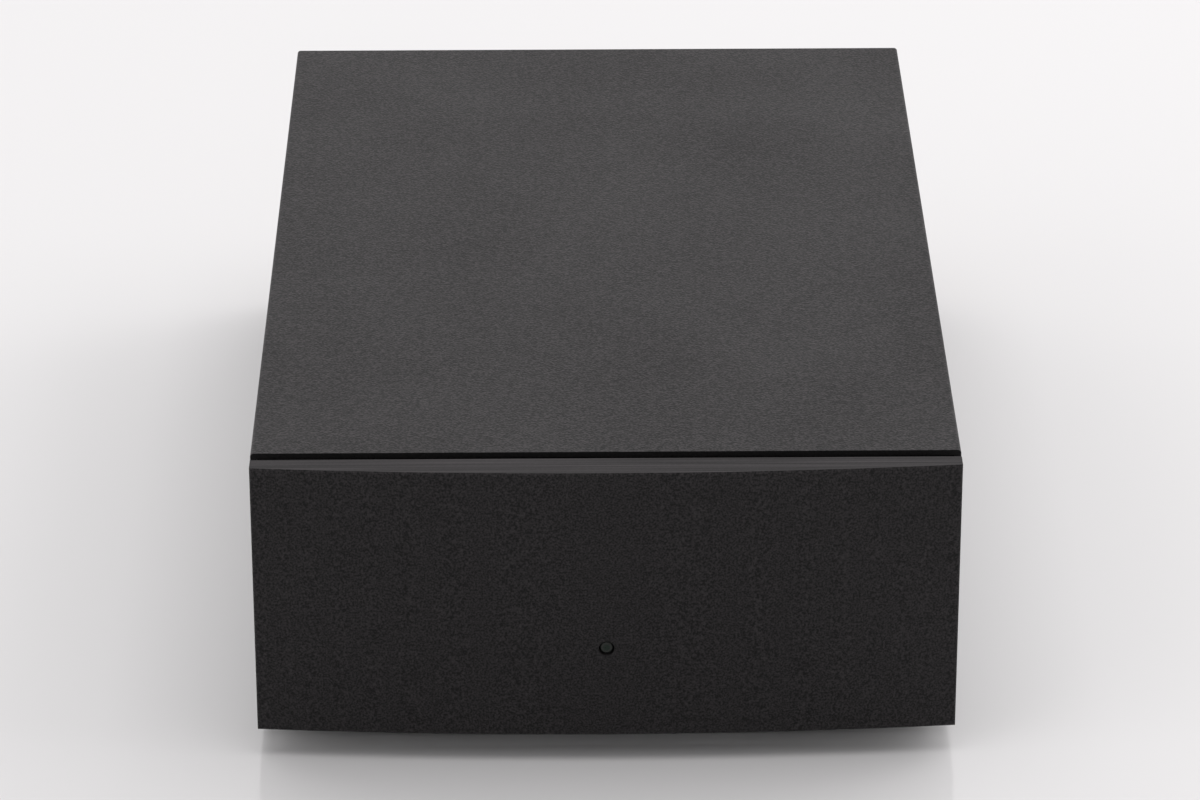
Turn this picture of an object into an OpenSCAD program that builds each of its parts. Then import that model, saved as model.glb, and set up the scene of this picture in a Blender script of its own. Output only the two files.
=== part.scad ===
// Compact phono preamplifier: a folded steel chassis and cover behind a bowed front panel.
// +X is right, +Y is the rear with the sockets, +Z is up. The origin is under the middle of the whole
// object, on the surface that the feet stand on.

/* [Body] */
// Width over the cover's two sides
body_w = 107; // [102:0.5:125]
// Height of the cover, and of the front panel that lies level with it
body_h = 44.5; // [42:0.5:60]
// Length of the cover, from its front edge to its rear edge
cover_l = 163.3; // [158:0.1:200]
// Thickness of the cover's sheet
cover_t = 0.9; // [0.6:0.1:1.5]
// Inside radius of the cover's two long bends
cover_bend_in = 0.2; // [0.1:0.1:1]
// Radius of the pressed outside corners of those bends
cover_corner_r = 0.55; // [0.3:0.05:1]
// How far the cover reaches past the rear panel
cover_lap = 1; // [0:0.5:3]
// Width of the open gap between the front panel and the cover
reveal = 2.2; // [1:0.1:4]

/* [Front panel] */
// Thickness of the panel at its two ends
panel_edge_t = 3; // [2.4:0.1:5]
// How far the panel's middle bows forward of its ends
panel_bow = 2.35; // [1.5:0.05:5]
// How far each end of the panel stops short of the cover's side
panel_inset = 0.1; // [0:0.05:0.5]
// Chamfer round the panel's front face
panel_chamfer = 0.25; // [0.1:0.05:0.5]
// Distance from the panel's ends to its fixing screws
panel_screw_end = 11.4; // [9:0.1:15]
// Distance from the panel's upper and lower edges to its fixing screws
panel_screw_edge = 9.2; // [7:0.1:12]
// Depth of the panel's tapped holes
panel_tap = 2.4; // [1.5:0.1:2.6]
// Radius of the spacers between the panel and the chassis
spacer_r = 3; // [2.5:0.1:4]

/* [Power light] */
// Height of the power light above the panel's lower edge
light_rise = 15; // [13:0.1:25]
// Radius of the light pipe's tip
light_tip_r = 1; // [0.7:0.05:1.2]
// Radius of the rounding round the tip's end
light_tip_round = 0.3; // [0.1:0.05:0.35]
// Clearance round the tip in the front face
light_tip_clear = 0.2; // [0.1:0.05:0.4]
// How far the tip lies behind the front face
light_recess = 0.3; // [0:0.1:1]
// Depth of the narrow hole in the front face
light_hole_l = 2; // [1.5:0.1:2.4]
// Radius of the light pipe behind its tip
light_pipe_r = 1.5; // [1.3:0.1:1.8]
// Radius of the light pipe's collar
light_collar_r = 1.9; // [1.9:0.1:2.4]
// Length of the light pipe's collar
light_collar_l = 2.4; // [1:0.1:3]
// How far the light pipe reaches into the chassis
light_reach = 2.4; // [1.5:0.1:4]
// Radius of the lamp behind the light pipe
lamp_r = 1.5; // [1.2:0.1:2]
// Length of the lamp, from its tip to its rim
lamp_l = 4.3; // [3.5:0.1:6]

/* [Chassis] */
// Thickness of the chassis sheet
base_t = 1; // [0.8:0.1:1.5]
// Inside radius of the chassis folds
base_bend_in = 0.6; // [0.3:0.1:1]
// Height of the chassis side lips
lip_h = 11; // [10.5:0.5:16]
// Gap between the chassis and the cover's sides
side_gap = 0.1; // [0.05:0.05:0.3]
// Gap between the chassis end plates and the cover's top
top_gap = 0.4; // [0.1:0.1:1]
// Gap between the side lips' ends and the end plates
lip_end_gap = 0.3; // [0.1:0.1:1]
// How far the front end plate stands behind the cover's front edge
nose_setback = 0.75; // [0.5:0.05:2]

/* [Feet] */
// Height of the feet, and of the body above the surface
foot_h = 4.6; // [4:0.1:12]
// Radius of a foot where it meets the chassis
foot_r = 7; // [6:0.5:10]
// How much narrower a foot is at its lower end
foot_taper = 0.5; // [0:0.1:1]
// Chamfer round a foot's lower end
foot_chamfer = 0.5; // [0.2:0.1:1]
// Thickness of the rubber under a foot's screw head
foot_web = 2.2; // [1.5:0.1:2.6]
// Distance from the cover's sides to the feet's centres
foot_side = 11.5; // [9:0.5:20]
// Distance from the cover's front edge to the front feet's centres
foot_front = 21; // [19:0.5:40]
// Distance from the cover's rear edge to the rear feet's centres
foot_rear = 11; // [10:0.5:11.5]

/* [Screws and nuts] */
// Radius of the main screws
screw_r = 1.5; // [1.4:0.05:1.6]
// Radius of their heads
head_r = 2.8; // [2.5:0.1:3]
// Height of their heads inside the body
head_h = 1.8; // [1.4:0.1:1.9]
// Height of the cover screws' low heads
low_head_h = 1.3; // [1:0.1:1.5]
// Radial clearance of a screw in a plain hole
hole_clear = 0.15; // [0.1:0.05:0.3]
// Radial clearance of a screw in a tapped hole or nut
thread_clear = 0.03; // [0.02:0.01:0.05]
// Width across the flats of the main nuts
nut_af = 5.5; // [5:0.1:6]
// Height of the main nuts
nut_h = 2.4; // [2:0.1:2.6]
// How far a screw's end stands out of its nut
screw_end = 0.6; // [0.2:0.1:1]
// Height of the cover screws above the body's lower edge
cover_screw_rise = 6; // [5.5:0.1:6.5]
// Distance from the cover's ends to its screws
cover_screw_end = 30; // [25:1:50]
// Radius of the clinched nuts' flange inside the lips
clinch_r = 3; // [2.6:0.1:3.2]
// Thickness of the clinched nuts' flange
clinch_h = 1.6; // [1.2:0.1:2]
// Radius of the clinched nuts' neck in the lips
clinch_neck_r = 2.1; // [1.9:0.05:2.3]

/* [Circuit board] */
// Gap between the chassis side lips and the board
board_side_gap = 3.5; // [3:0.1:6]
// Gap between the front end plate and the board
board_front_gap = 5; // [4:0.5:8]
// Gap between the rear panel and the board
board_rear_gap = 14.8; // [14.5:0.1:20]
// Thickness of the board
board_t = 1.6; // [1.2:0.1:2]
// Height of the board's standoffs
standoff_h = 5; // [4.5:0.5:8]
// Width across the flats of the standoffs
standoff_af = 5; // [4.5:0.5:6]
// Distance from the board's edges to its screws
board_hole_edge = 4; // [3.5:0.1:5]
// Wall of the standoffs' necks in the chassis floor
standoff_neck_wall = 0.6; // [0.5:0.1:0.8]

/* [Phono sockets] */
// Distance from the cover's right side to the input sockets
input_side = 17.5; // [15.5:0.5:20.5]
// Sideways place of the output sockets
output_x = -18; // [-20:0.5:-16]
// Height of the right channel's sockets above the body's lower edge
right_rise = 13.4; // [12:0.1:15]
// Height of the left channel's sockets above the right channel's
channel_rise = 18; // [15:0.1:20]
// Outside radius of a socket's barrel
barrel_r = 4.15; // [4.1:0.01:4.2]
// Wall of a socket's barrel
barrel_wall = 0.85; // [0.6:0.05:1]
// Length of a socket's barrel beyond its flange
barrel_l = 7.5; // [7:0.1:9]
// Width across the flats of a socket's flange
flange_af = 11; // [10:0.1:12]
// Thickness of a socket's flange
flange_h = 1.85; // [1.2:0.05:2.5]
// Radius of a socket's threaded shank
shank_r = 3.175; // [3:0.005:3.4]
// Wall of a socket's threaded shank
shank_wall = 0.75; // [0.7:0.05:0.8]
// Length of a socket's shank from the rear panel's outer face inwards
shank_l = 8; // [7:0.1:9]
// Radius of the insulating washers
ring_r = 5.9; // [5.5:0.1:6.2]
// Thickness of the insulating washers
ring_h = 0.8; // [0.6:0.1:1]
// Wall of the outer washer's neck in the rear panel
ring_neck = 0.9; // [0.6:0.1:1.2]
// Thickness of a socket's solder tag
tag_t = 0.5; // [0.3:0.1:0.6]
// Length of a solder tag's arm beyond its ring
tag_l = 3.5; // [3:0.5:4]
// Width of a solder tag's arm
tag_w = 2.4; // [2:0.1:3]
// Width across the flats of a socket's nut
socket_nut_af = 9; // [8.5:0.5:10]
// Thickness of a socket's nut
socket_nut_h = 2; // [1.6:0.1:2.4]
// Radius of the bore that takes a plug's centre pin
contact_bore_r = 1.6; // [1.55:0.01:1.65]
// Wall of the centre contact
contact_wall = 0.4; // [0.3:0.05:0.45]
// Depth of the centre contact's bore
contact_depth = 8.75; // [8:0.05:9]
// Thickness of the centre contact's closed end
contact_end = 0.5; // [0.3:0.1:0.8]
// How far the contact and the insulator lie inside the barrel's mouth
mouth_recess = 0.5; // [0.3:0.1:1]
// Radius of the centre contact's solder tail
tail_r = 1; // [0.8:0.05:1.1]
// How far the solder tail stands out of the shank
tail_l = 3; // [2.5:0.1:3.5]
// Clearance between a socket's nested pieces
press_clear = 0.02; // [0.01:0.01:0.04]

/* [Ground terminal] */
// Sideways place of the ground terminal
ground_x = 20; // [18:0.5:21]
// Height of the ground terminal above the body's lower edge
ground_rise = 22.4; // [20:0.1:24]
// Radius of the ground post's thread
post_r = 2; // [1.9:0.05:2.2]
// How far the post stands out of the rear panel
post_l = 9.95; // [9.9:0.05:10.1]
// Width across the flats of the post's collar
post_collar_af = 10; // [9:0.5:11]
// Thickness of the post's collar
post_collar_h = 2; // [1.5:0.1:2.5]
// How far the post reaches inside from the rear panel's outer face
post_tail_l = 6.5; // [6:0.1:8]
// Radius of the ground washer
ground_washer_r = 4.6; // [4:0.1:5]
// Thickness of the ground washer
ground_washer_h = 0.8; // [0.6:0.1:1]
// Radius of the knurled ground nut
ground_nut_r = 4.75; // [4.5:0.05:5]
// Length of the knurled ground nut
ground_nut_h = 5; // [4:0.1:5]
// Depth of the knurling
knurl_depth = 0.35; // [0.2:0.05:0.45]
// Number of ridges in the knurling
knurl_count = 36; // [24:2:48]
// Running clearance of the ground nut and washer on the post
post_clear = 0.05; // [0.03:0.01:0.1]
// Width across the flats of the post's nut inside
lock_nut_af = 7; // [6.5:0.5:8]
// Thickness of the post's nut inside
lock_nut_h = 3.2; // [2.5:0.1:3.5]

/* [Cartridge selector] */
// Sideways place of the selector switch
selector_x = 2; // [0:0.5:3]
// Height of the selector switch above the body's lower edge
selector_rise = 13.4; // [12:0.1:16]
// Length of the selector's knob
knob_w = 4.4; // [3.5:0.1:5]
// Height of the selector's knob
knob_h = 3.6; // [3:0.1:4]
// How far the knob stands out of the rear panel
knob_out = 2.2; // [1.5:0.1:3]
// How far the knob slides
knob_travel = 3; // [2:0.1:3.5]
// Clearance round the knob in its slot
knob_clear = 0.3; // [0.2:0.05:0.5]
// How much wider the slider's sole is than the knob, on each side
sole_side = 1.5; // [1:0.1:1.7]
// Thickness of the slider's sole
sole_t = 1.2; // [0.8:0.1:1.4]
// Clearance round the sole inside the housing
sole_clear = 0.1; // [0.05:0.01:0.15]
// Thickness of the selector's metal frame
frame_t = 0.6; // [0.5:0.1:1]
// Wall of the selector's housing
housing_wall = 1.1; // [0.8:0.1:1.3]
// Depth of the selector's housing
housing_l = 6; // [5:0.1:7]
// Distance from the selector's middle to its screws
selector_screw_x = 9; // [8.8:0.1:9.2]
// Radius of the selector's screws
small_screw_r = 1; // [0.9:0.05:1.1]
// Radius of the selector screws' heads
small_head_r = 1.9; // [1.7:0.1:2]
// Height of the selector screws' heads
small_head_h = 1.2; // [1:0.1:1.4]
// Length of the selector's terminals
terminal_l = 2.6; // [2:0.1:2.8]
// Distance between the selector's terminals
terminal_pitch = 3; // [2.5:0.1:3.5]

/* [Power inlet] */
// Distance from the cover's left side to the power inlet
inlet_side = 15.5; // [14.5:0.5:19.5]
// Height of the power inlet above the body's lower edge
inlet_rise = 13.4; // [12:0.1:16]
// Radius of the inlet's body
inlet_r = 3.95; // [3.9:0.05:4.2]
// Radius of the inlet's flange
inlet_flange_r = 5.5; // [5:0.1:6]
// Thickness of the inlet's flange
inlet_flange_h = 1.4; // [1:0.1:2]
// Length of the inlet's body from the rear panel's outer face inwards
inlet_l = 11; // [10:0.1:12]
// Radius of the opening that takes the power plug
inlet_bore_r = 3.1; // [3:0.05:3.2]
// Depth of that opening from the rear panel's outer face
inlet_depth = 8.2; // [7.5:0.1:9]
// Radius of the inlet's centre pin
inlet_pin_r = 1.05; // [1:0.05:1.25]
// How far the centre pin's tip lies inside the flange's face
inlet_pin_recess = 1.2; // [0.8:0.1:2]
// Length of the inlet's solder tags
inlet_tag_l = 3.2; // [2.5:0.1:3.4]
// Width across the flats of the inlet's nut
inlet_nut_af = 10; // [9.5:0.5:11]
// Thickness of the inlet's nut
inlet_nut_h = 2; // [1.6:0.1:2.5]

/* [Components] */
// Sideways place of the line midway between the two amplifier channels
channel_mid_x = 22; // [20:0.5:24]
// Distance between the two amplifier channels
channel_pitch = 24; // [23:0.5:26]
// Distance from the board's rear edge to the first row of components
first_row = 22; // [20:0.5:26]
// Distance between the rows of components
row_pitch = 15; // [14.5:0.1:16]
// Gap between the board's left edge and the supply capacitors
supply_edge = 4; // [3:0.5:5]
// Distance from the first row of components to the first regulator
regulator_start = 54; // [52:0.5:56]
// Distance between the two regulators
regulator_pitch = 21; // [20:0.5:23]
// Length of an amplifier chip
chip_l = 9.4; // [9:0.1:10]
// Width of an amplifier chip
chip_w = 6.35; // [6:0.05:7]
// Height of an amplifier chip's body
chip_h = 3.3; // [3:0.1:3.6]
// Radius of the supply capacitors
supply_cap_r = 6.25; // [5:0.25:6.5]
// Height of the supply capacitors
supply_cap_h = 20; // [16:1:25]
// Radius of the small capacitors
signal_cap_r = 3.15; // [2.5:0.05:3.5]
// Height of the small capacitors
signal_cap_h = 11; // [7:0.5:14]
// Length of a film capacitor
film_cap_l = 10; // [7:0.5:12]
// Width of a film capacitor
film_cap_w = 4.5; // [3:0.5:6]
// Height of a film capacitor
film_cap_h = 9; // [7:0.5:12]
// Length of a resistor's body
resistor_l = 6.2; // [5:0.1:7]
// Radius of a resistor's body
resistor_r = 1.15; // [0.8:0.05:1.2]
// Distance between a resistor's two legs
resistor_pitch = 10; // [9.5:0.1:11]
// Width of a regulator
regulator_w = 10; // [9:0.5:11]
// Height of a heat sink
sink_h = 22; // [18:1:26]
// Width of a heat sink
sink_w = 16; // [14:0.5:18]
// Depth of a heat sink's fins
sink_fin_l = 8; // [5:0.5:9]
// Thickness of a heat sink's back
sink_back_t = 2; // [1.5:0.5:3]
// Radius of the choke
choke_r = 6; // [5:0.5:7]
// Height of the choke
choke_h = 9; // [7:0.5:12]
// Radius of the signal wires
wire_r = 0.7; // [0.5:0.05:0.8]
// Radius of the bends in the wires
wire_bend = 3; // [2:0.1:3.2]
// How much thinner the supply and selector wires are than the signal wires
thin_wire_step = 0.2; // [0.1:0.05:0.3]
// Room for solder between a wire's end and its tag
wire_gap = 0.2; // [0.1:0.05:0.3]

/* [Hidden] */

// Facets of a round shape, and of the front panel's very large arc
$fn = 48;
arc_fn = 1440;
// A cutting shape reaches this far past the surface that it cuts
past = 1;

// Lengths along the body, front to rear, with the origin in the middle of the whole length
panel_mid_t = panel_edge_t + panel_bow;
socket_reach = ring_h + flange_h + barrel_l;
overall_l = panel_mid_t + reveal + cover_l - cover_lap + socket_reach;
apex_y = -overall_l / 2;
panel_corner_y = apex_y + panel_bow;
panel_rear_y = apex_y + panel_mid_t;
cover_front_y = panel_rear_y + reveal;
cover_rear_y = cover_front_y + cover_l;
rear_out_y = cover_rear_y - cover_lap;
rear_in_y = rear_out_y - base_t;
nose_out_y = cover_front_y + nose_setback;
nose_in_y = nose_out_y + base_t;

// Widths and heights
panel_w = body_w - 2 * panel_inset;
panel_arc_r = (pow(panel_w / 2, 2) + pow(panel_bow, 2)) / (2 * panel_bow);
tray_x = body_w / 2 - cover_t - side_gap;
base_bend_out = base_bend_in + base_t;
floor_top = foot_h + base_t;
end_plate_h = body_h - cover_t - top_gap;
board_bottom = floor_top + standoff_h;
board_top = board_bottom + board_t;
board_x = tray_x - base_t - board_side_gap;
board_front_y = nose_in_y + board_front_gap;
board_rear_y = rear_in_y - board_rear_gap;
input_x = body_w / 2 - input_side;
inlet_x = inlet_side - body_w / 2;
light_z = foot_h + light_rise;
right_z = foot_h + right_rise;
left_z = right_z + channel_rise;
ground_z = foot_h + ground_rise;
selector_z = foot_h + selector_rise;
inlet_z = foot_h + inlet_rise;
cover_screw_z = foot_h + cover_screw_rise;

// Where things repeat
panel_screw_x = panel_w / 2 - panel_screw_end;
panel_screw_z = [foot_h + panel_screw_edge, foot_h + body_h - panel_screw_edge];
cover_screw_y = [cover_front_y + cover_screw_end, cover_rear_y - cover_screw_end];
foot_x = body_w / 2 - foot_side;
foot_y = [cover_front_y + foot_front, cover_rear_y - foot_rear];
board_screw_x = board_x - board_hole_edge;
board_screw_y = [board_front_y + board_hole_edge, board_rear_y - board_hole_edge];
channel_x = [channel_mid_x + channel_pitch / 2, channel_mid_x - channel_pitch / 2];
sockets = [[input_x, left_z], [input_x, right_z], [output_x, left_z], [output_x, right_z]];

// Radii and depths that follow from the pieces they fit
screw_hole_r = screw_r + hole_clear;
screw_tap_r = screw_r + thread_clear;
light_hole_r = light_tip_r + light_tip_clear;
light_bore_r = light_collar_r + light_tip_clear / 2;
neck_r = shank_r + press_clear + ring_neck;
contact_r = contact_bore_r + contact_wall;
shank_bore_r = shank_r - shank_wall;
barrel_bore_r = barrel_r - barrel_wall;
barrel_seat = ring_h + flange_h / 4;
mouth = socket_reach - mouth_recess;
contact_floor = mouth - contact_depth;
inlet_mouth = inlet_flange_h - inlet_pin_recess;
tag_plane = -base_t - ring_h;
socket_tag_r = ring_r - 1;
lug_r = post_r + 2;

// ---- Shared shapes ----

// Turns a shape so that its +Z points out of the rear panel, with zero at the panel's outer face
module at_rear(x, z) {
    translate([x, rear_out_y, z]) rotate([-90, 0, 0]) children();
}

module four_corners(x, ys) {
    for (side = [-1, 1], y = ys) translate([side * x, y, 0]) children();
}

module tube(outer_r, inner_r, h) {
    difference() {
        cylinder(r = outer_r, h = h);
        translate([0, 0, -past]) cylinder(r = inner_r, h = h + 2 * past);
    }
}

module hexagon(af, h) {
    cylinder(r = af / 2 / cos(30), h = h, $fn = 6);
}

module hex_nut(af, h, bore_r) {
    difference() {
        hexagon(af, h);
        translate([0, 0, -past]) cylinder(r = bore_r, h = h + 2 * past);
    }
}

// A screw with its head above zero, its shank below, and a crossed recess in its head
module screw(r, l, head_radius, head_height) {
    recess_w = r * 0.5;
    recess_l = head_radius * 1.1;
    recess_depth = head_height * 0.6;
    edge = head_height * 0.3;
    tip = 0.2;
    difference() {
        rotate_extrude() polygon([
            [0, -l], [r - tip, -l], [r, tip - l], [r, 0], [head_radius, 0],
            [head_radius, head_height - edge], [head_radius - edge, head_height], [0, head_height]
        ]);
        for (turn = [0, 90]) rotate(turn) translate([0, 0, head_height - recess_depth / 2 + past / 2])
            cube([recess_l, recess_w, recess_depth + past], center = true);
    }
}

// ---- Front ----

// Half section of the panel round the axis of its bow, with both front edges chamfered
module panel_section() {
    back = panel_arc_r - panel_mid_t - past;
    front = panel_arc_r;
    polygon([
        [back, 0], [front - panel_chamfer, 0], [front, panel_chamfer],
        [front, body_h - panel_chamfer], [front - panel_chamfer, body_h], [back, body_h]
    ]);
}

module panel_blank() {
    difference() {
        intersection() {
            translate([0, apex_y + panel_arc_r, foot_h])
                rotate_extrude($fn = arc_fn) panel_section();
            translate([-panel_w / 2, apex_y - past, foot_h])
                cube([panel_w, panel_mid_t + past, body_h]);
        }
        for (side = [-1, 1]) translate([side * panel_w / 2, panel_corner_y, foot_h - past])
            rotate(45) linear_extrude(body_h + 2 * past)
                square(panel_chamfer * sqrt(2), center = true);
    }
}

// Turns a shape so that its +Z points to the rear, with zero at the panel's rear face
module at_panel_rear(x, z) {
    translate([x, panel_rear_y, z]) rotate([-90, 0, 0]) children();
}

module at_panel_screws() {
    for (side = [-1, 1], z = panel_screw_z) at_panel_rear(side * panel_screw_x, z) children();
}

module front_panel() {
    color("#2b2a2b") difference() {
        panel_blank();
        at_panel_rear(0, light_z) {
            translate([0, 0, -panel_mid_t - past])
                cylinder(r = light_hole_r, h = panel_mid_t + 2 * past);
            translate([0, 0, light_hole_l - panel_mid_t])
                cylinder(r = light_bore_r, h = panel_mid_t - light_hole_l + past);
        }
        at_panel_screws() translate([0, 0, -panel_tap])
            cylinder(r = screw_tap_r, h = panel_tap + past);
    }
}

spacer_l = nose_out_y - panel_rear_y;

module front_spacers() {
    color("silver") at_panel_screws() tube(spacer_r, screw_hole_r, spacer_l);
}

module front_screws() {
    grip = spacer_l + base_t;
    color("silver") at_panel_screws() translate([0, 0, grip])
        screw(screw_r, grip + panel_tap - screw_end / 2, head_r, head_h);
}

pipe_end_y = nose_in_y + light_reach;

module light_pipe() {
    tip_y = apex_y + light_recess;
    collar_y = apex_y + light_hole_l + press_clear;
    color("#5c6b58") translate([0, 0, light_z]) rotate([-90, 0, 0]) {
        translate([0, 0, tip_y]) rotate_extrude() {
            square([light_tip_r - light_tip_round, light_tip_round]);
            translate([light_tip_r - light_tip_round, light_tip_round]) circle(light_tip_round);
            translate([0, light_tip_round]) square([light_tip_r, collar_y - tip_y]);
        }
        translate([0, 0, collar_y]) cylinder(r = light_collar_r, h = light_collar_l);
        translate([0, 0, collar_y]) cylinder(r = light_pipe_r, h = pipe_end_y - collar_y);
    }
}

// A round-nosed lamp facing the light pipe, on two legs bent down to the board
module power_led() {
    nose_y = pipe_end_y + 0.2;
    rim_r = lamp_r + 0.4;
    rim_h = 0.8;
    leg_r = 0.25;
    leg_x = 1.27;
    leg_bend = 1;
    rim_y = nose_y + lamp_l;
    color("#d8e2d4") translate([0, 0, light_z]) rotate([-90, 0, 0]) {
        translate([0, 0, nose_y + lamp_r]) sphere(lamp_r);
        translate([0, 0, nose_y + lamp_r]) cylinder(r = lamp_r, h = lamp_l - lamp_r);
        translate([0, 0, rim_y - rim_h]) cylinder(r = rim_r, h = rim_h);
    }
    color("silver") for (x = [-leg_x, leg_x]) lead_down(x, rim_y, light_z, leg_r, leg_bend);
}

// ---- Bent wires ----

// A quarter ring in the plane of Y and Z, from straight up to straight forwards of its centre
module bend(r, wire) {
    rotate([90, 0, 90]) rotate(90) rotate_extrude(angle = 90) translate([r, 0]) circle(wire);
}

// A wire that leaves a point towards the front, bends down and ends on the board, length l in all
module wire_to_board(x, y, z, l, wire, bend_r) {
    end_y = y - l;
    translate([x, end_y + bend_r, z]) rotate([-90, 0, 0]) cylinder(r = wire, h = l - bend_r);
    translate([x, end_y + bend_r, z - bend_r]) bend(bend_r, wire);
    translate([x, end_y, board_top]) cylinder(r = wire, h = z - bend_r - board_top);
}

// A lead that leaves a point towards the rear, bends down and ends on the board
module lead_down(x, y, z, wire, bend_r) {
    straight = 0.5;
    mirror_y = y + straight + bend_r;
    translate([x, y, z]) rotate([-90, 0, 0]) cylinder(r = wire, h = straight);
    translate([x, y + straight, z - bend_r]) mirror([0, 1, 0]) bend(bend_r, wire);
    translate([x, mirror_y, board_top]) cylinder(r = wire, h = z - bend_r - board_top);
}

// ---- Cover and chassis ----

// A block with a flat bottom and its two upper corners rounded
module rounded_top(half_w, h, r) {
    translate([-half_w, 0]) square([2 * half_w, h - r]);
    translate([r - half_w, 0]) square([2 * (half_w - r), h]);
    for (side = [-1, 1]) translate([side * (half_w - r), h - r]) circle(r);
}

module at_cover_screws() {
    for (side = [-1, 1], y = cover_screw_y)
        translate([side * body_w / 2, y, cover_screw_z]) rotate([0, side * 90, 0]) children();
}

module top_cover() {
    color("#3c3a3b") difference() {
        translate([0, cover_rear_y, foot_h]) rotate([90, 0, 0]) linear_extrude(cover_l)
            difference() {
                rounded_top(body_w / 2, body_h, cover_corner_r);
                rounded_top(body_w / 2 - cover_t, body_h - cover_t, cover_bend_in);
            }
        at_cover_screws() translate([0, 0, -cover_t - past])
            cylinder(r = screw_hole_r, h = cover_t + 2 * past);
    }
}

lip_in = cover_t + side_gap + base_t;

module cover_screws() {
    color("#232323") at_cover_screws()
        screw(screw_r, lip_in + clinch_h + screw_end, head_r, low_head_h);
}

module clinch_nuts() {
    color("silver") at_cover_screws() difference() {
        translate([0, 0, -lip_in]) {
            translate([0, 0, -clinch_h]) cylinder(r = clinch_r, h = clinch_h);
            cylinder(r = clinch_neck_r, h = base_t);
        }
        translate([0, 0, -lip_in - clinch_h - past])
            cylinder(r = screw_tap_r, h = lip_in + clinch_h + past);
    }
}

// The round part of a fold, with the sheet's outer corner at the origin
module fold_section() {
    intersection() {
        square(base_bend_out);
        translate([base_bend_out, base_bend_out]) difference() {
            circle(base_bend_out);
            circle(base_bend_in);
        }
    }
}

// One side's fold and lip
module side_lip() {
    bend_y = nose_out_y + base_bend_out;
    bend_l = rear_out_y - nose_out_y - 2 * base_bend_out;
    lip_y = nose_in_y + lip_end_gap;
    lip_l = rear_in_y - nose_in_y - 2 * lip_end_gap;
    translate([-tray_x, bend_y + bend_l, foot_h]) rotate([90, 0, 0])
        linear_extrude(bend_l) fold_section();
    translate([-tray_x, lip_y, foot_h + base_bend_out])
        cube([base_t, lip_l, lip_h - base_bend_out]);
}

// The front or rear end plate and its fold, with the plate's outer face at y = 0
module end_plate() {
    fold_w = 2 * (tray_x - base_bend_out);
    translate([-fold_w / 2, 0, foot_h]) rotate([90, 0, 90]) linear_extrude(fold_w) fold_section();
    translate([-tray_x, 0, foot_h + base_bend_out])
        cube([2 * tray_x, base_t, end_plate_h - base_bend_out]);
}

module chassis_sheet() {
    floor_w = 2 * (tray_x - base_bend_out);
    floor_l = rear_out_y - nose_out_y - 2 * base_bend_out;
    translate([-floor_w / 2, nose_out_y + base_bend_out, foot_h]) cube([floor_w, floor_l, base_t]);
    side_lip();
    mirror([1, 0, 0]) side_lip();
    translate([0, nose_out_y, 0]) end_plate();
    translate([0, rear_out_y, 0]) mirror([0, 1, 0]) end_plate();
}

slot_w = knob_w + knob_travel + 2 * knob_clear;
slot_h = knob_h + 2 * knob_clear;
standoff_neck_r = screw_tap_r + standoff_neck_wall;

// Everything that is punched through the rear panel
module rear_holes() {
    depth = base_t + 2 * past;
    for (place = sockets) at_rear(place[0], place[1]) translate([0, 0, past - depth])
        cylinder(r = neck_r + press_clear, h = depth);
    at_rear(ground_x, ground_z) translate([0, 0, past - depth])
        cylinder(r = post_r + hole_clear, h = depth);
    at_rear(inlet_x, inlet_z) translate([0, 0, past - depth])
        cylinder(r = inlet_r + hole_clear, h = depth);
    at_rear(selector_x, selector_z) {
        translate([-slot_w / 2, -slot_h / 2, past - depth]) cube([slot_w, slot_h, depth]);
        for (side = [-1, 1]) translate([side * selector_screw_x, 0, past - depth])
            cylinder(r = small_screw_r + hole_clear, h = depth);
    }
}

module chassis_base() {
    color("#4a4a4c") difference() {
        chassis_sheet();
        rear_holes();
        at_panel_screws() translate([0, 0, spacer_l - past])
            cylinder(r = screw_hole_r, h = base_t + 2 * past);
        at_panel_rear(0, light_z) translate([0, 0, spacer_l - past])
            cylinder(r = light_pipe_r + 2 * light_tip_clear, h = base_t + 2 * past);
        at_cover_screws() translate([0, 0, -lip_in - past])
            cylinder(r = clinch_neck_r + press_clear, h = base_t + past + side_gap);
        four_corners(foot_x, foot_y) translate([0, 0, foot_h - past])
            cylinder(r = screw_hole_r, h = base_t + 2 * past);
        four_corners(board_screw_x, board_screw_y) translate([0, 0, foot_h - past])
            cylinder(r = standoff_neck_r + press_clear, h = base_t + 2 * past);
    }
}

// ---- Feet ----

foot_recess_h = foot_h - foot_web;

module feet() {
    tip_r = foot_r - foot_taper;
    recess_r = head_r + 0.6;
    color("#1c1c1c") four_corners(foot_x, foot_y) rotate_extrude() polygon([
        [recess_r, 0], [tip_r - foot_chamfer, 0], [tip_r, foot_chamfer], [foot_r, foot_h],
        [screw_hole_r, foot_h], [screw_hole_r, foot_recess_h], [recess_r, foot_recess_h]
    ]);
}

module foot_screws() {
    color("silver") four_corners(foot_x, foot_y) translate([0, 0, foot_recess_h]) rotate([180, 0, 0])
        screw(screw_r, foot_web + base_t + nut_h + screw_end, head_r, head_h);
}

module foot_nuts() {
    color("silver") four_corners(foot_x, foot_y) translate([0, 0, floor_top])
        hex_nut(nut_af, nut_h, screw_tap_r);
}

// ---- Circuit board ----

// Hexagonal pillars with a neck pressed into the chassis floor
module board_standoffs() {
    color("silver") four_corners(board_screw_x, board_screw_y) difference() {
        union() {
            translate([0, 0, foot_h]) cylinder(r = standoff_neck_r, h = base_t);
            translate([0, 0, floor_top]) hexagon(standoff_af, standoff_h);
        }
        translate([0, 0, foot_h - past]) cylinder(r = screw_tap_r, h = base_t + standoff_h + 2 * past);
    }
}

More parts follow.
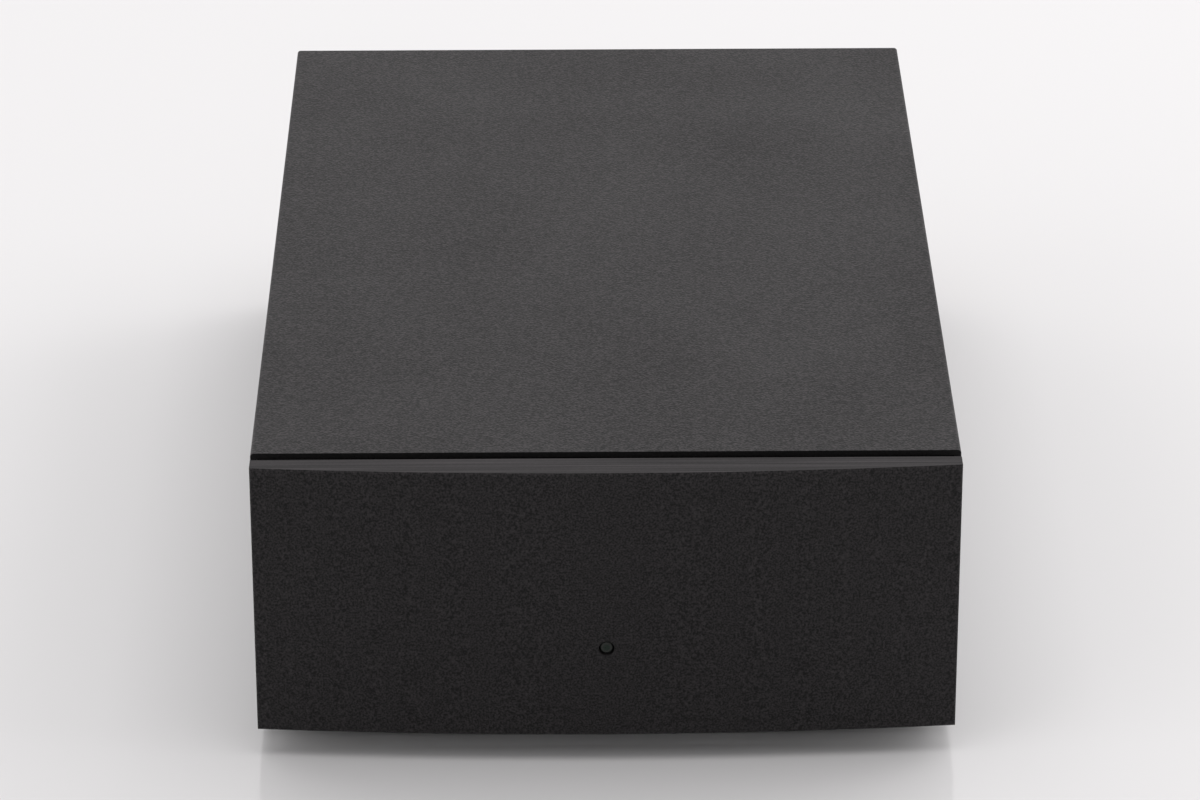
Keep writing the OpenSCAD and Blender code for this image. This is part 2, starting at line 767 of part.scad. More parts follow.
module main_board() {
    color("#1f5b3a") difference() {
        translate([-board_x, board_front_y, board_bottom])
            cube([2 * board_x, board_rear_y - board_front_y, board_t]);
        four_corners(board_screw_x, board_screw_y) translate([0, 0, board_bottom - past])
            cylinder(r = screw_hole_r, h = board_t + 2 * past);
    }
}

module board_screws() {
    color("silver") four_corners(board_screw_x, board_screw_y) translate([0, 0, board_top])
        screw(screw_r, board_t + standoff_h - screw_end, head_r, head_h);
}

// ---- Phono sockets ----

// Barrel, hexagonal flange and threaded shank turned from one piece of brass
module socket_shell(x, z) {
    edge = 0.3;
    color("goldenrod") at_rear(x, z) difference() {
        union() {
            translate([0, 0, -shank_l]) cylinder(r = shank_r, h = shank_l + ring_h);
            translate([0, 0, ring_h]) hexagon(flange_af, flange_h);
            rotate_extrude() polygon([
                [0, ring_h], [barrel_r, ring_h], [barrel_r, socket_reach - edge],
                [barrel_r - edge, socket_reach], [0, socket_reach]
            ]);
        }
        translate([0, 0, -shank_l - past])
            cylinder(r = shank_bore_r, h = shank_l + socket_reach);
        translate([0, 0, barrel_seat]) cylinder(r = barrel_bore_r, h = socket_reach);
    }
}

// Stepped sleeve that fills the shell and holds the contact
module socket_insulator(x, z) {
    color("#e8e6df") at_rear(x, z) difference() {
        union() {
            translate([0, 0, -shank_l])
                cylinder(r = shank_bore_r - press_clear, h = shank_l + mouth);
            translate([0, 0, barrel_seat])
                cylinder(r = barrel_bore_r - press_clear, h = mouth - barrel_seat);
        }
        translate([0, 0, -shank_l - past])
            cylinder(r = tail_r + press_clear, h = shank_l + mouth + past);
        translate([0, 0, contact_floor - contact_end])
            cylinder(r = contact_r + press_clear, h = mouth + past);
    }
}

// Centre contact: a bored tube with a flared mouth, and a tail that ends in a solder cup
module socket_contact(x, z) {
    flare = 0.25;
    cup_r = tail_r - 0.3;
    cup_l = tail_l * 0.7;
    tail_end = -shank_l - tail_l;
    color("goldenrod") at_rear(x, z) difference() {
        union() {
            translate([0, 0, contact_floor - contact_end])
                cylinder(r = contact_r, h = contact_depth + contact_end);
            translate([0, 0, tail_end])
                cylinder(r = tail_r, h = contact_floor - contact_end - tail_end);
        }
        translate([0, 0, contact_floor]) cylinder(r = contact_bore_r, h = contact_depth + past);
        translate([0, 0, mouth - flare])
            cylinder(r1 = contact_bore_r, r2 = contact_bore_r + flare, h = flare);
        translate([0, 0, tail_end + contact_end]) cylinder(r = cup_r, h = cup_l - contact_end);
        translate([-tail_r - past, -tail_r - past, tail_end + contact_end])
            cube([2 * (tail_r + past), tail_r + past, cup_l - contact_end]);
    }
}

module input_socket_left() socket_shell(input_x, left_z);
module input_socket_right() socket_shell(input_x, right_z);
module output_socket_left() socket_shell(output_x, left_z);
module output_socket_right() socket_shell(output_x, right_z);
module input_insulator_left() socket_insulator(input_x, left_z);
module input_insulator_right() socket_insulator(input_x, right_z);
module output_insulator_left() socket_insulator(output_x, left_z);
module output_insulator_right() socket_insulator(output_x, right_z);
module input_contact_left() socket_contact(input_x, left_z);
module input_contact_right() socket_contact(input_x, right_z);
module output_contact_left() socket_contact(output_x, left_z);
module output_contact_right() socket_contact(output_x, right_z);

// Insulating washer outside the rear panel, with a neck that centres the shank in its hole
module socket_ring(x, z) {
    neck_l = base_t - 0.1;
    at_rear(x, z) {
        tube(ring_r, shank_r + press_clear, ring_h);
        translate([0, 0, -neck_l]) tube(neck_r, shank_r + press_clear, neck_l);
    }
}

module left_socket_rings() {
    color("white") for (x = [input_x, output_x]) socket_ring(x, left_z);
}

module right_socket_rings() {
    color("firebrick") for (x = [input_x, output_x]) socket_ring(x, right_z);
}

module socket_inner_washers() {
    color("#222222") for (place = sockets) at_rear(place[0], place[1])
        translate([0, 0, tag_plane]) tube(ring_r, shank_r + press_clear, ring_h);
}

// A ring with one arm that ends in a small eye
module solder_tag(ring_radius, bore_r, arm_l) {
    eye_r = tag_w / 4;
    linear_extrude(tag_t) difference() {
        union() {
            circle(ring_radius);
            translate([0, -tag_w / 2]) square([ring_radius + arm_l, tag_w]);
        }
        circle(bore_r);
        translate([ring_radius + arm_l - tag_w / 2, 0]) circle(eye_r);
    }
}

module socket_solder_tags() {
    color("silver") for (place = sockets) at_rear(place[0], place[1])
        translate([0, 0, tag_plane - tag_t])
            solder_tag(socket_tag_r, shank_r + press_clear, tag_l);
}

module socket_nuts() {
    color("goldenrod") for (place = sockets) at_rear(place[0], place[1])
        translate([0, 0, tag_plane - tag_t - socket_nut_h])
            hex_nut(socket_nut_af, socket_nut_h, shank_r + thread_clear);
}

// ---- Ground terminal ----

module ground_post() {
    edge = 0.4;
    color("silver") at_rear(ground_x, ground_z) {
        translate([0, 0, -post_tail_l]) cylinder(r = post_r, h = post_tail_l + post_l - edge);
        translate([0, 0, post_l - edge]) cylinder(r1 = post_r, r2 = post_r - edge, h = edge);
        hexagon(post_collar_af, post_collar_h);
    }
}

module ground_washer() {
    color("silver") at_rear(ground_x, ground_z) translate([0, 0, post_collar_h])
        tube(ground_washer_r, post_r + post_clear, ground_washer_h);
}

// Round nut with straight ridges along its grip and a plain chamfered nose
module ground_nut() {
    root_r = ground_nut_r - knurl_depth;
    ridge = 360 / knurl_count;
    nose_h = 0.6;
    outline = [
        for (i = [0 : 2 * knurl_count - 1])
            let (r = i % 2 == 0 ? ground_nut_r : root_r, a = i * ridge / 2)
            [r * cos(a), r * sin(a)]
    ];
    color("#c9a24a") at_rear(ground_x, ground_z)
        translate([0, 0, post_collar_h + ground_washer_h]) difference() {
            union() {
                linear_extrude(ground_nut_h - nose_h) polygon(outline);
                translate([0, 0, ground_nut_h - nose_h])
                    cylinder(r1 = root_r, r2 = root_r - nose_h, h = nose_h);
            }
            translate([0, 0, -past]) cylinder(r = post_r + post_clear, h = ground_nut_h + 2 * past);
        }
}

module ground_lug() {
    color("silver") at_rear(ground_x, ground_z) translate([0, 0, -base_t - tag_t])
        solder_tag(lug_r, post_r + hole_clear, tag_l);
}

module ground_lock_nut() {
    color("silver") at_rear(ground_x, ground_z) translate([0, 0, -base_t - tag_t - lock_nut_h])
        hex_nut(lock_nut_af, lock_nut_h, post_r + thread_clear);
}

// ---- Cartridge selector ----

sole_w = knob_w + 2 * sole_side;
sole_h = knob_h + sole_side;
cavity_w = sole_w + knob_travel + 2 * sole_clear;
cavity_h = sole_h + 2 * sole_clear;
cavity_l = sole_t + 2 * sole_clear;
housing_w = cavity_w + 2 * housing_wall;
housing_h = cavity_h + 2 * housing_wall;

// Metal strip behind the rear panel, slotted for the knob and tapped for two screws
module selector_frame() {
    strip_l = 2 * (selector_screw_x + small_head_r + 0.6);
    color("silver") at_rear(selector_x, selector_z) translate([0, 0, -base_t - frame_t]) difference() {
        translate([-strip_l / 2, -housing_h / 2, 0]) cube([strip_l, housing_h, frame_t]);
        translate([-slot_w / 2, -slot_h / 2, -past]) cube([slot_w, slot_h, frame_t + 2 * past]);
        for (side = [-1, 1]) translate([side * selector_screw_x, 0, -past])
            cylinder(r = small_screw_r + thread_clear, h = frame_t + 2 * past);
    }
}

module selector_housing() {
    color("#3a2d22") at_rear(selector_x, selector_z)
        translate([0, 0, -base_t - frame_t - housing_l]) difference() {
            translate([-housing_w / 2, -housing_h / 2, 0]) cube([housing_w, housing_h, housing_l]);
            translate([-cavity_w / 2, -cavity_h / 2, housing_l - cavity_l])
                cube([cavity_w, cavity_h, cavity_l + past]);
        }
}

// Ribbed knob on a wider sole, at the +X end of its travel
module selector_slider() {
    rib_pitch = 1.1;
    rib_cut = 0.5;
    rib_depth = 0.4;
    sole_top = -base_t - frame_t - sole_clear;
    color("#161616") at_rear(selector_x, selector_z) translate([knob_travel / 2, 0, 0]) {
        difference() {
            translate([-knob_w / 2, -knob_h / 2, sole_top])
                cube([knob_w, knob_h, knob_out - sole_top]);
            for (i = [-1 : 1])
                translate([i * rib_pitch - rib_cut / 2, -knob_h / 2 - past, knob_out - rib_depth])
                    cube([rib_cut, knob_h + 2 * past, rib_depth + past]);
        }
        translate([-sole_w / 2, -sole_h / 2, sole_top - sole_t]) cube([sole_w, sole_h, sole_t]);
    }
}

module selector_screws() {
    color("silver") at_rear(selector_x, selector_z) for (side = [-1, 1])
        translate([side * selector_screw_x, 0, 0])
            screw(small_screw_r, base_t + frame_t + screw_end, small_head_r, small_head_h);
}

terminal_end = base_t + frame_t + housing_l + terminal_l;
terminal_row = housing_h / 4;

module selector_terminals() {
    blade_w = 1.2;
    blade_t = 0.5;
    color("silver") at_rear(selector_x, selector_z)
        for (i = [-1 : 1], row = [-terminal_row, terminal_row])
            translate([i * terminal_pitch - blade_w / 2, row - blade_t / 2, -terminal_end])
                cube([blade_w, blade_t, terminal_l]);
}

// ---- Power inlet ----

spring_w = 1.6;
spring_t = 0.26;
spring_y = sqrt(pow(inlet_bore_r - press_clear, 2) - pow(spring_w / 2, 2)) - spring_t;
pin_tail_r = 0.6;

module inlet_body() {
    edge = 0.4;
    color("#1a1a1a") at_rear(inlet_x, inlet_z) difference() {
        rotate_extrude() polygon([
            [0, -inlet_l], [inlet_r, -inlet_l], [inlet_r, 0], [inlet_flange_r, 0],
            [inlet_flange_r, inlet_flange_h - edge], [inlet_flange_r - edge, inlet_flange_h],
            [0, inlet_flange_h]
        ]);
        translate([0, 0, -inlet_depth]) cylinder(r = inlet_bore_r, h = inlet_depth + inlet_flange_h + past);
        translate([0, 0, -inlet_l - past]) cylinder(r = pin_tail_r + press_clear, h = inlet_l);
        translate([-spring_w / 2 - press_clear, spring_y - press_clear, -inlet_l - past])
            cube([spring_w + 2 * press_clear, spring_t + 2 * press_clear, inlet_l]);
    }
}

// The centre pin with its tail, and the sleeve's leaf spring, each ending in a solder tag
module inlet_contacts() {
    nose = 0.4;
    spring_l = inlet_depth * 0.7;
    color("silver") at_rear(inlet_x, inlet_z) {
        rotate_extrude() polygon([
            [0, -inlet_l - inlet_tag_l], [pin_tail_r, -inlet_l - inlet_tag_l], [pin_tail_r, -inlet_depth],
            [inlet_pin_r, -inlet_depth], [inlet_pin_r, inlet_mouth - nose],
            [inlet_pin_r - nose, inlet_mouth], [0, inlet_mouth]
        ]);
        translate([-spring_w / 2, spring_y, -inlet_l - inlet_tag_l])
            cube([spring_w, spring_t, inlet_l + inlet_tag_l - inlet_depth + spring_l]);
    }
}

module inlet_nut() {
    color("silver") at_rear(inlet_x, inlet_z) translate([0, 0, -base_t - inlet_nut_h])
        hex_nut(inlet_nut_af, inlet_nut_h, inlet_r + thread_clear);
}

// ---- Components on the board ----

// Rows across the board, counted from its rear edge towards the front
function row_y(row) = board_rear_y - first_row - row * row_pitch;

module on_board(x, y) {
    translate([x, y, board_top]) children();
}

// Eight-leg chip, standing a little clear of the board on its legs
module chip() {
    stand = 0.5;
    leg_w = 0.5;
    leg_t = 0.3;
    leg_pitch = 2.54;
    notch_r = 0.8;
    difference() {
        translate([-chip_w / 2, -chip_l / 2, stand]) cube([chip_w, chip_l, chip_h]);
        translate([0, chip_l / 2, stand + chip_h - leg_t]) cylinder(r = notch_r, h = chip_h);
    }
    for (side = [-1, 1], i = [-1.5 : 1.5])
        translate([side * chip_w / 2 - leg_t / 2, i * leg_pitch - leg_w / 2, 0])
            cube([leg_t, leg_w, stand + chip_h / 2]);
}

module op_amps() {
    color("#1d1d1f") for (x = channel_x, row = [1, 4]) on_board(x, row_y(row)) chip();
}

module film_capacitors() {
    gap = 3;
    offset_x = (film_cap_w + gap) / 2;
    color("#a8322a") for (x = channel_x, row = [0, 3], side = [-1, 1])
        on_board(x + side * offset_x, row_y(row))
            translate([-film_cap_w / 2, -film_cap_l / 2, 0]) cube([film_cap_w, film_cap_l, film_cap_h]);
}

// Aluminium can with the groove that crimps it onto its seal
module can_capacitor(r, h) {
    groove = 0.4;
    groove_z = 2;
    rotate_extrude() polygon([
        [0, 0], [r, 0], [r, groove_z - groove], [r - groove, groove_z], [r, groove_z + groove],
        [r, h - groove], [r - groove, h], [0, h]
    ]);
}

module signal_capacitors() {
    gap = 2;
    color("#23262e") for (x = channel_x, side = [-1, 1])
        on_board(x + side * (signal_cap_r + gap / 2), row_y(5)) can_capacitor(signal_cap_r, signal_cap_h);
}

supply_x = supply_edge + supply_cap_r - board_x;

module supply_capacitors() {
    pitch = 2 * supply_cap_r + 2;
    color("#23262e") for (column = [0, 1], row = [0, 1])
        on_board(supply_x + column * pitch, row_y(1) - row * pitch)
            can_capacitor(supply_cap_r, supply_cap_h);
}

// Resistor with two end caps, lying above the board on legs bent down to it
module resistor() {
    leg_r = 0.3;
    leg_bend = 0.8;
    cap_l = 1.3;
    waist = 0.15;
    lift = resistor_r + 0.35;
    half = resistor_l / 2;
    leg_x = resistor_pitch / 2;
    translate([0, 0, lift]) rotate([0, 90, 0]) rotate_extrude() polygon([
        [0, -half], [resistor_r, -half], [resistor_r, cap_l - half], [resistor_r - waist, cap_l - half],
        [resistor_r - waist, half - cap_l], [resistor_r, half - cap_l], [resistor_r, half], [0, half]
    ]);
    for (side = [0, 180]) rotate(side) {
        translate([half, 0, lift]) rotate([0, 90, 0]) cylinder(r = leg_r, h = leg_x - leg_bend - half);
        translate([leg_x - leg_bend, 0, lift - leg_bend]) rotate([90, 0, 0])
            rotate_extrude(angle = 90) translate([leg_bend, 0]) circle(leg_r);
        translate([leg_x, 0, 0]) cylinder(r = leg_r, h = lift - leg_bend);
    }
}

module resistors() {
    pitch = 3.5;
    color("#8fb3c9") for (x = channel_x, row = [2, 6], i = [-1.5 : 1.5])
        on_board(x, row_y(row) + i * pitch) resistor();
}

tab_t = 1.3;
tab_hole_z = 16.5;
package_t = 4.5;
regulator_x = supply_x + supply_cap_r;
regulator_y = [row_y(0) - regulator_start, row_y(0) - regulator_start - regulator_pitch];

// Upright three-leg regulator, its metal tab facing the heat sink at -Y
module regulator() {
    leg_h = 4;
    leg_w = 0.8;
    leg_t = 0.5;
    leg_pitch = 2.54;
    package_h = 9;
    tab_h = 6.5;
    difference() {
        union() {
            translate([-regulator_w / 2, 0, leg_h]) cube([regulator_w, package_t, package_h]);
            translate([-regulator_w / 2, 0, leg_h]) cube([regulator_w, tab_t, package_h + tab_h]);
            for (i = [-1 : 1]) translate([i * leg_pitch - leg_w / 2, package_t / 2, 0])
                cube([leg_w, leg_t, leg_h + past]);
        }
        translate([0, -past, tab_hole_z]) rotate([-90, 0, 0])
            cylinder(r = screw_hole_r, h = tab_t + 2 * past);
    }
}

// Finned extrusion standing on the board, with its flat back at y = 0
module heat_sink() {
    fin_t = 1.2;
    fin_count = 5;
    fin_pitch = (sink_w - fin_t) / (fin_count - 1);
    difference() {
        linear_extrude(sink_h) {
            translate([-sink_w / 2, -sink_back_t]) square([sink_w, sink_back_t]);
            for (i = [0 : fin_count - 1]) translate([i * fin_pitch - sink_w / 2, -sink_back_t - sink_fin_l])
                square([fin_t, sink_fin_l + past]);
        }
        translate([0, past, tab_hole_z]) rotate([90, 0, 0])
            cylinder(r = screw_tap_r, h = sink_back_t + past + screw_end);
    }
}

module regulators() {
    color("#1d1d1f") for (y = regulator_y) on_board(regulator_x, y) regulator();
}

module heat_sinks() {
    color("#2e2e31") for (y = regulator_y) on_board(regulator_x, y) heat_sink();
}

module regulator_screws() {
    color("silver") for (y = regulator_y) on_board(regulator_x, y)
        translate([0, tab_t, tab_hole_z]) rotate([-90, 0, 0])
            screw(screw_r, tab_t + sink_back_t, head_r, head_h);
}

// Drum core wound with wire between its two flanges
module supply_choke() {
    flange = 1.5;
    waist = 0.6;
    color("#7a4a2a") on_board(supply_x, row_y(0)) rotate_extrude() polygon([
        [0, 0], [choke_r, 0], [choke_r, flange], [choke_r - waist, flange],
        [choke_r - waist, choke_h - flange], [choke_r, choke_h - flange], [choke_r, choke_h], [0, choke_h]
    ]);
}

// ---- Wires behind the rear panel ----

// How far each wire runs forwards before it meets the board
left_signal_l = 16;
right_signal_l = 9;
left_ground_l = 28;
right_ground_l = 22.5;
terminal_ground_l = 20;
pin_supply_l = 7;
spring_supply_l = 3;
upper_selector_l = 11;
lower_selector_l = 8;
thin_wire_r = wire_r - thin_wire_step;

module signal_wires(z, l) {
    start_y = rear_out_y - shank_l - tail_l - wire_gap;
    for (x = [input_x, output_x]) wire_to_board(x, start_y, z, l, wire_r, wire_bend);
}

module left_signal_wires() {
    color("white") signal_wires(left_z, left_signal_l);
}

module right_signal_wires() {
    color("firebrick") signal_wires(right_z, right_signal_l);
}

// From each socket's solder tag and the ground terminal's lug
module ground_wires() {
    tag_x = socket_tag_r + tag_l - tag_w / 2;
    lug_x = lug_r + tag_l - tag_w / 2;
    tag_y = rear_out_y + tag_plane - tag_t - wire_gap;
    lug_y = rear_out_y - base_t - tag_t - wire_gap;
    color("#1c1c1c") {
        for (x = [input_x, output_x]) {
            wire_to_board(x + tag_x, tag_y, left_z, left_ground_l, wire_r, wire_bend);
            wire_to_board(x + tag_x, tag_y, right_z, right_ground_l, wire_r, wire_bend);
        }
        wire_to_board(ground_x + lug_x, lug_y, ground_z, terminal_ground_l, wire_r, wire_bend);
    }
}

module supply_wires() {
    start_y = rear_out_y - inlet_l - inlet_tag_l - wire_gap;
    spring_z = inlet_z - spring_y - spring_t / 2;
    short_bend = 1;
    color("#a33a2a") {
        wire_to_board(inlet_x, start_y, inlet_z, pin_supply_l, thin_wire_r, wire_bend);
        wire_to_board(inlet_x, start_y, spring_z, spring_supply_l, thin_wire_r, short_bend);
    }
}

module selector_wires() {
    start_y = rear_out_y - terminal_end - wire_gap;
    short_bend = 1.5;
    color("#8a8a8a") for (i = [-1 : 1]) {
        x = selector_x + i * terminal_pitch;
        wire_to_board(x, start_y, selector_z + terminal_row, upper_selector_l, thin_wire_r, wire_bend);
        wire_to_board(x, start_y, selector_z - terminal_row, lower_selector_l, thin_wire_r, short_bend);
    }
}

front_panel();
front_spacers();
front_screws();
light_pipe();
power_led();
top_cover();
cover_screws();
clinch_nuts();
chassis_base();
feet();
foot_screws();
foot_nuts();
board_standoffs();
main_board();
board_screws();
input_socket_left();
input_socket_right();
output_socket_left();
output_socket_right();
input_insulator_left();
input_insulator_right();
output_insulator_left();
output_insulator_right();
input_contact_left();
input_contact_right();
output_contact_left();
output_contact_right();
left_socket_rings();
right_socket_rings();
socket_inner_washers();
socket_solder_tags();
socket_nuts();
ground_post();
ground_washer();
ground_nut();
ground_lug();
ground_lock_nut();
selector_frame();
selector_housing();
selector_slider();
selector_screws();
selector_terminals();
inlet_body();
inlet_contacts();
inlet_nut();
op_amps();
film_capacitors();
signal_capacitors();
supply_capacitors();
resistors();
regulators();
heat_sinks();
regulator_screws();
supply_choke();
left_signal_wires();
right_signal_wires();
ground_wires();
supply_wires();
selector_wires();
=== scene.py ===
# Finishes, threaded ground post and studio for a compact phono preamplifier.
# Laid out as a Blender add-on and run as a script. All lengths are in metres: +X is right seen from
# the front, +Y is the rear with the sockets, +Z is up, and the feet stand at Z = 0.

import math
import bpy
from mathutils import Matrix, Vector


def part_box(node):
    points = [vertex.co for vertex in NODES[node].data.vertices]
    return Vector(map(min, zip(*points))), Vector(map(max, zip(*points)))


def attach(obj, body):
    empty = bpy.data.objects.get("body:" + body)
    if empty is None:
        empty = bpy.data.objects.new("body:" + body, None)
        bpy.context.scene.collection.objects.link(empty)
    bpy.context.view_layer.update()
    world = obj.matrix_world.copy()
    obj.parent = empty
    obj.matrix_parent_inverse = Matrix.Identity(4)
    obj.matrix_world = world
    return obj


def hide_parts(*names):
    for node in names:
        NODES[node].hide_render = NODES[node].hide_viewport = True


bl_info = {
    "name": "Phono preamp",
    "version": (1, 0, 0),
    "blender": (4, 5, 0),
    "location": "View3D > Sidebar > Phono preamp",
    "description": "Finishes and studio for a compact phono preamplifier",
    "category": "Object",
}

import bmesh
import bpy
from bpy.props import FloatProperty, FloatVectorProperty, IntProperty, PointerProperty
from mathutils import Matrix, Vector

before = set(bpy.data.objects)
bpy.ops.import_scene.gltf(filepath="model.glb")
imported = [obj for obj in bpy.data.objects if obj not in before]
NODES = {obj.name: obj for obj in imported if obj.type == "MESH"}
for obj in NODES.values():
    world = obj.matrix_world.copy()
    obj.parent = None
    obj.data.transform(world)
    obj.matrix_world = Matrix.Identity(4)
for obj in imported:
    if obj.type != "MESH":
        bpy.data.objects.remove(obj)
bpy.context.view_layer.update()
MM = 0.001

# The chassis carries everything that doesn't move
CHASSIS = "chassis"
# Outer face of the rear panel
REAR_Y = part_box("chassis_base")[1].y
# How far the front panel's middle bows forward of its ends
PANEL_BOW = 2.35 * MM
# Distance between the components of one channel and those of the other
CHANNEL_PITCH = 24 * MM
# The range that most of a noise pattern's values lie in
MOST = (0.3, 0.7)
# The ranges of the grain pattern in which the paint's dark ground goes over into its pale grains
COVER_GROUND = (0.39, 0.69)
PANEL_GROUND = (0.37, 0.73)
# Each ring of a resistor: its place along the body, and its colour
RESISTOR_RINGS = [
    (-2.45 * MM, (0.20, 0.09, 0.03)),
    (-1.2 * MM, (0.02, 0.02, 0.02)),
    (-0.3 * MM, (0.03, 0.03, 0.03)),
    (0.6 * MM, (0.45, 0.05, 0.02)),
    (2.35 * MM, (0.20, 0.09, 0.03)),
]
# The camera's place, and its turns in radians: to the right, upwards, and about its own axis
CAMERA_PLACE = (-0.00601, -0.78865, 0.39512)
CAMERA_YAW, CAMERA_PITCH, CAMERA_ROLL = 0.00729, -0.44568, -0.00215


def middle(node):
    """Middle of a node's box."""
    low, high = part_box(node)
    return (low + high) / 2


def colour_property(name, description, default):
    return FloatVectorProperty(
        name=name, description=description, default=default, subtype="COLOR", size=3, min=0, max=1)


def length_property(name, description, default, high):
    return FloatProperty(
        name=name, description=description, default=default, min=0, max=high, precision=6,
        subtype="DISTANCE", unit="LENGTH")


def share_property(name, description, default):
    return FloatProperty(
        name=name, description=description, default=default, min=0, max=1, subtype="FACTOR")


# ---- Sizes and colours that a user would change ----

class CaseFinish(bpy.types.PropertyGroup):
    """Textured paint of the cover, chassis and front panel"""

    cover_colour: colour_property(
        "Cover paint", "Colour of the cover and chassis", (0.0080, 0.0070, 0.0074))
    panel_colour: colour_property(
        "Panel paint", "Colour of the front panel", (0.0090, 0.0081, 0.0085))
    cover_grain: length_property(
        "Cover grain", "Width of one grain of the cover's paint", 0.00034, 0.003)
    panel_grain: length_property(
        "Panel grain", "Width of one grain of the panel's paint", 0.0003, 0.003)
    grain_depth: length_property("Grain depth", "Height of the grains", 0.00012, 0.002)
    dark_grain: share_property(
        "Dark grains", "Colour of the darkest grains, as a share of the paint's", 0.02)
    light_grain: FloatProperty(
        name="Light grains", description="Colour of the lightest grains, as a share of the paint's",
        default=3.6, min=1, max=10)
    roughness: share_property("Roughness", "Roughness of the paint", 0.5)
    cover_gloss: share_property("Cover gloss", "How strongly the cover mirrors", 0.35)
    panel_gloss: share_property("Panel gloss", "How strongly the front panel mirrors", 0.20)
    # Strength of the painted shade inside the gap between the front panel and the cover
    gap_shade: share_property(
        "Painted shade in the gap", "How much darker the gap's inside is", 0.85)
    saw_pitch: length_property(
        "Saw lines", "Width of the lines along the panel's cut edges", 0.0005, 0.003)


class LightFinish(bpy.types.PropertyGroup):
    """The power light when it is off"""

    # Colour towards the pipe's rim, into which the core's colour grades outwards
    pipe_colour: colour_property(
        "Light pipe", "Colour of the unlit pipe's worn rim", (0.024, 0.027, 0.024))
    core_colour: colour_property(
        "Core", "Colour deep in the middle of the pipe", (0.005, 0.013, 0.008))


class MetalFinish(bpy.types.PropertyGroup):
    """Plated and bare metals"""

    zinc: colour_property("Zinc", "Colour of the zinc-plated steel", (0.58, 0.58, 0.56))
    nickel: colour_property("Nickel", "Colour of the nickel plating", (0.66, 0.64, 0.60))
    gold: colour_property("Gold", "Colour of the gold plating", (0.83, 0.58, 0.24))
    tin: colour_property("Tin", "Colour of the tinned copper", (0.68, 0.68, 0.67))
    black_oxide: colour_property(
        "Black oxide", "Colour of the blackened screws", (0.018, 0.018, 0.019))
    turning: length_property(
        "Turning lines", "Distance between the lathe's marks", 0.00009, 0.001)


class PlasticFinish(bpy.types.PropertyGroup):
    """Moulded plastics and rubber"""

    white: colour_property("White", "Colour of the left channel's rings", (0.72, 0.71, 0.68))
    red: colour_property("Red", "Colour of the right channel's rings", (0.42, 0.020, 0.018))
    black: colour_property("Black", "Colour of the black mouldings", (0.014, 0.014, 0.015))
    insulator: colour_property("Insulator", "Colour of the sockets' insulators", (0.76, 0.75, 0.71))
    grey: colour_property("Grey", "Colour of the selector's wires", (0.26, 0.26, 0.27))
    rubber: colour_property("Rubber", "Colour of the feet", (0.012, 0.012, 0.012))


class BoardFinish(bpy.types.PropertyGroup):
    """Circuit board and what stands on it"""

    resist: colour_property("Solder resist", "Colour of the board's coating", (0.010, 0.085, 0.035))
    film: colour_property(
        "Film capacitors", "Colour of the dipped film capacitors", (0.36, 0.040, 0.022))
    sleeve: colour_property("Sleeves", "Colour of the capacitors' sleeves", (0.012, 0.014, 0.030))
    lacquer: colour_property("Lacquer", "Colour of the resistors", (0.20, 0.38, 0.50))
    copper: colour_property("Copper", "Colour of the choke's enamelled wire", (0.42, 0.16, 0.06))


class PostSizes(bpy.types.PropertyGroup):
    """Threaded post of the ground terminal"""

    pitch: length_property("Pitch", "Distance from thread to thread", 0.0007, 0.002)
    root: length_property("Root radius", "Radius at the bottom of the thread", 0.00157, 0.002)
    steps: IntProperty(
        name="Steps", description="Steps in one turn of the thread", default=36, min=12, max=96)


class StudioSettings(bpy.types.PropertyGroup):
    """Floor, lights and camera"""

    floor: colour_property("Floor", "Colour of the glossy pale floor", (0.84, 0.84, 0.84))
    floor_roughness: share_property("Floor roughness", "Roughness of the floor", 0.09)
    room: share_property("Room light", "Strength of the even light from all round", 0.45)
    backdrop: colour_property(
        "Backdrop", "Colour of the room where it is seen", (0.873, 0.860, 0.866))
    lamp_colour: colour_property("Light", "Colour of the lamps and the room", (1.0, 0.980, 0.988))
    level: FloatProperty(
        name="Lamp level", description="How much of their power the lamps give",
        default=1.0, min=0, max=10)
    lens: FloatProperty(
        name="Lens", description="Focal length of the camera in millimetres",
        default=156.9, min=20, max=500, precision=3, unit="CAMERA")


# ---- Building finishes from nodes ----

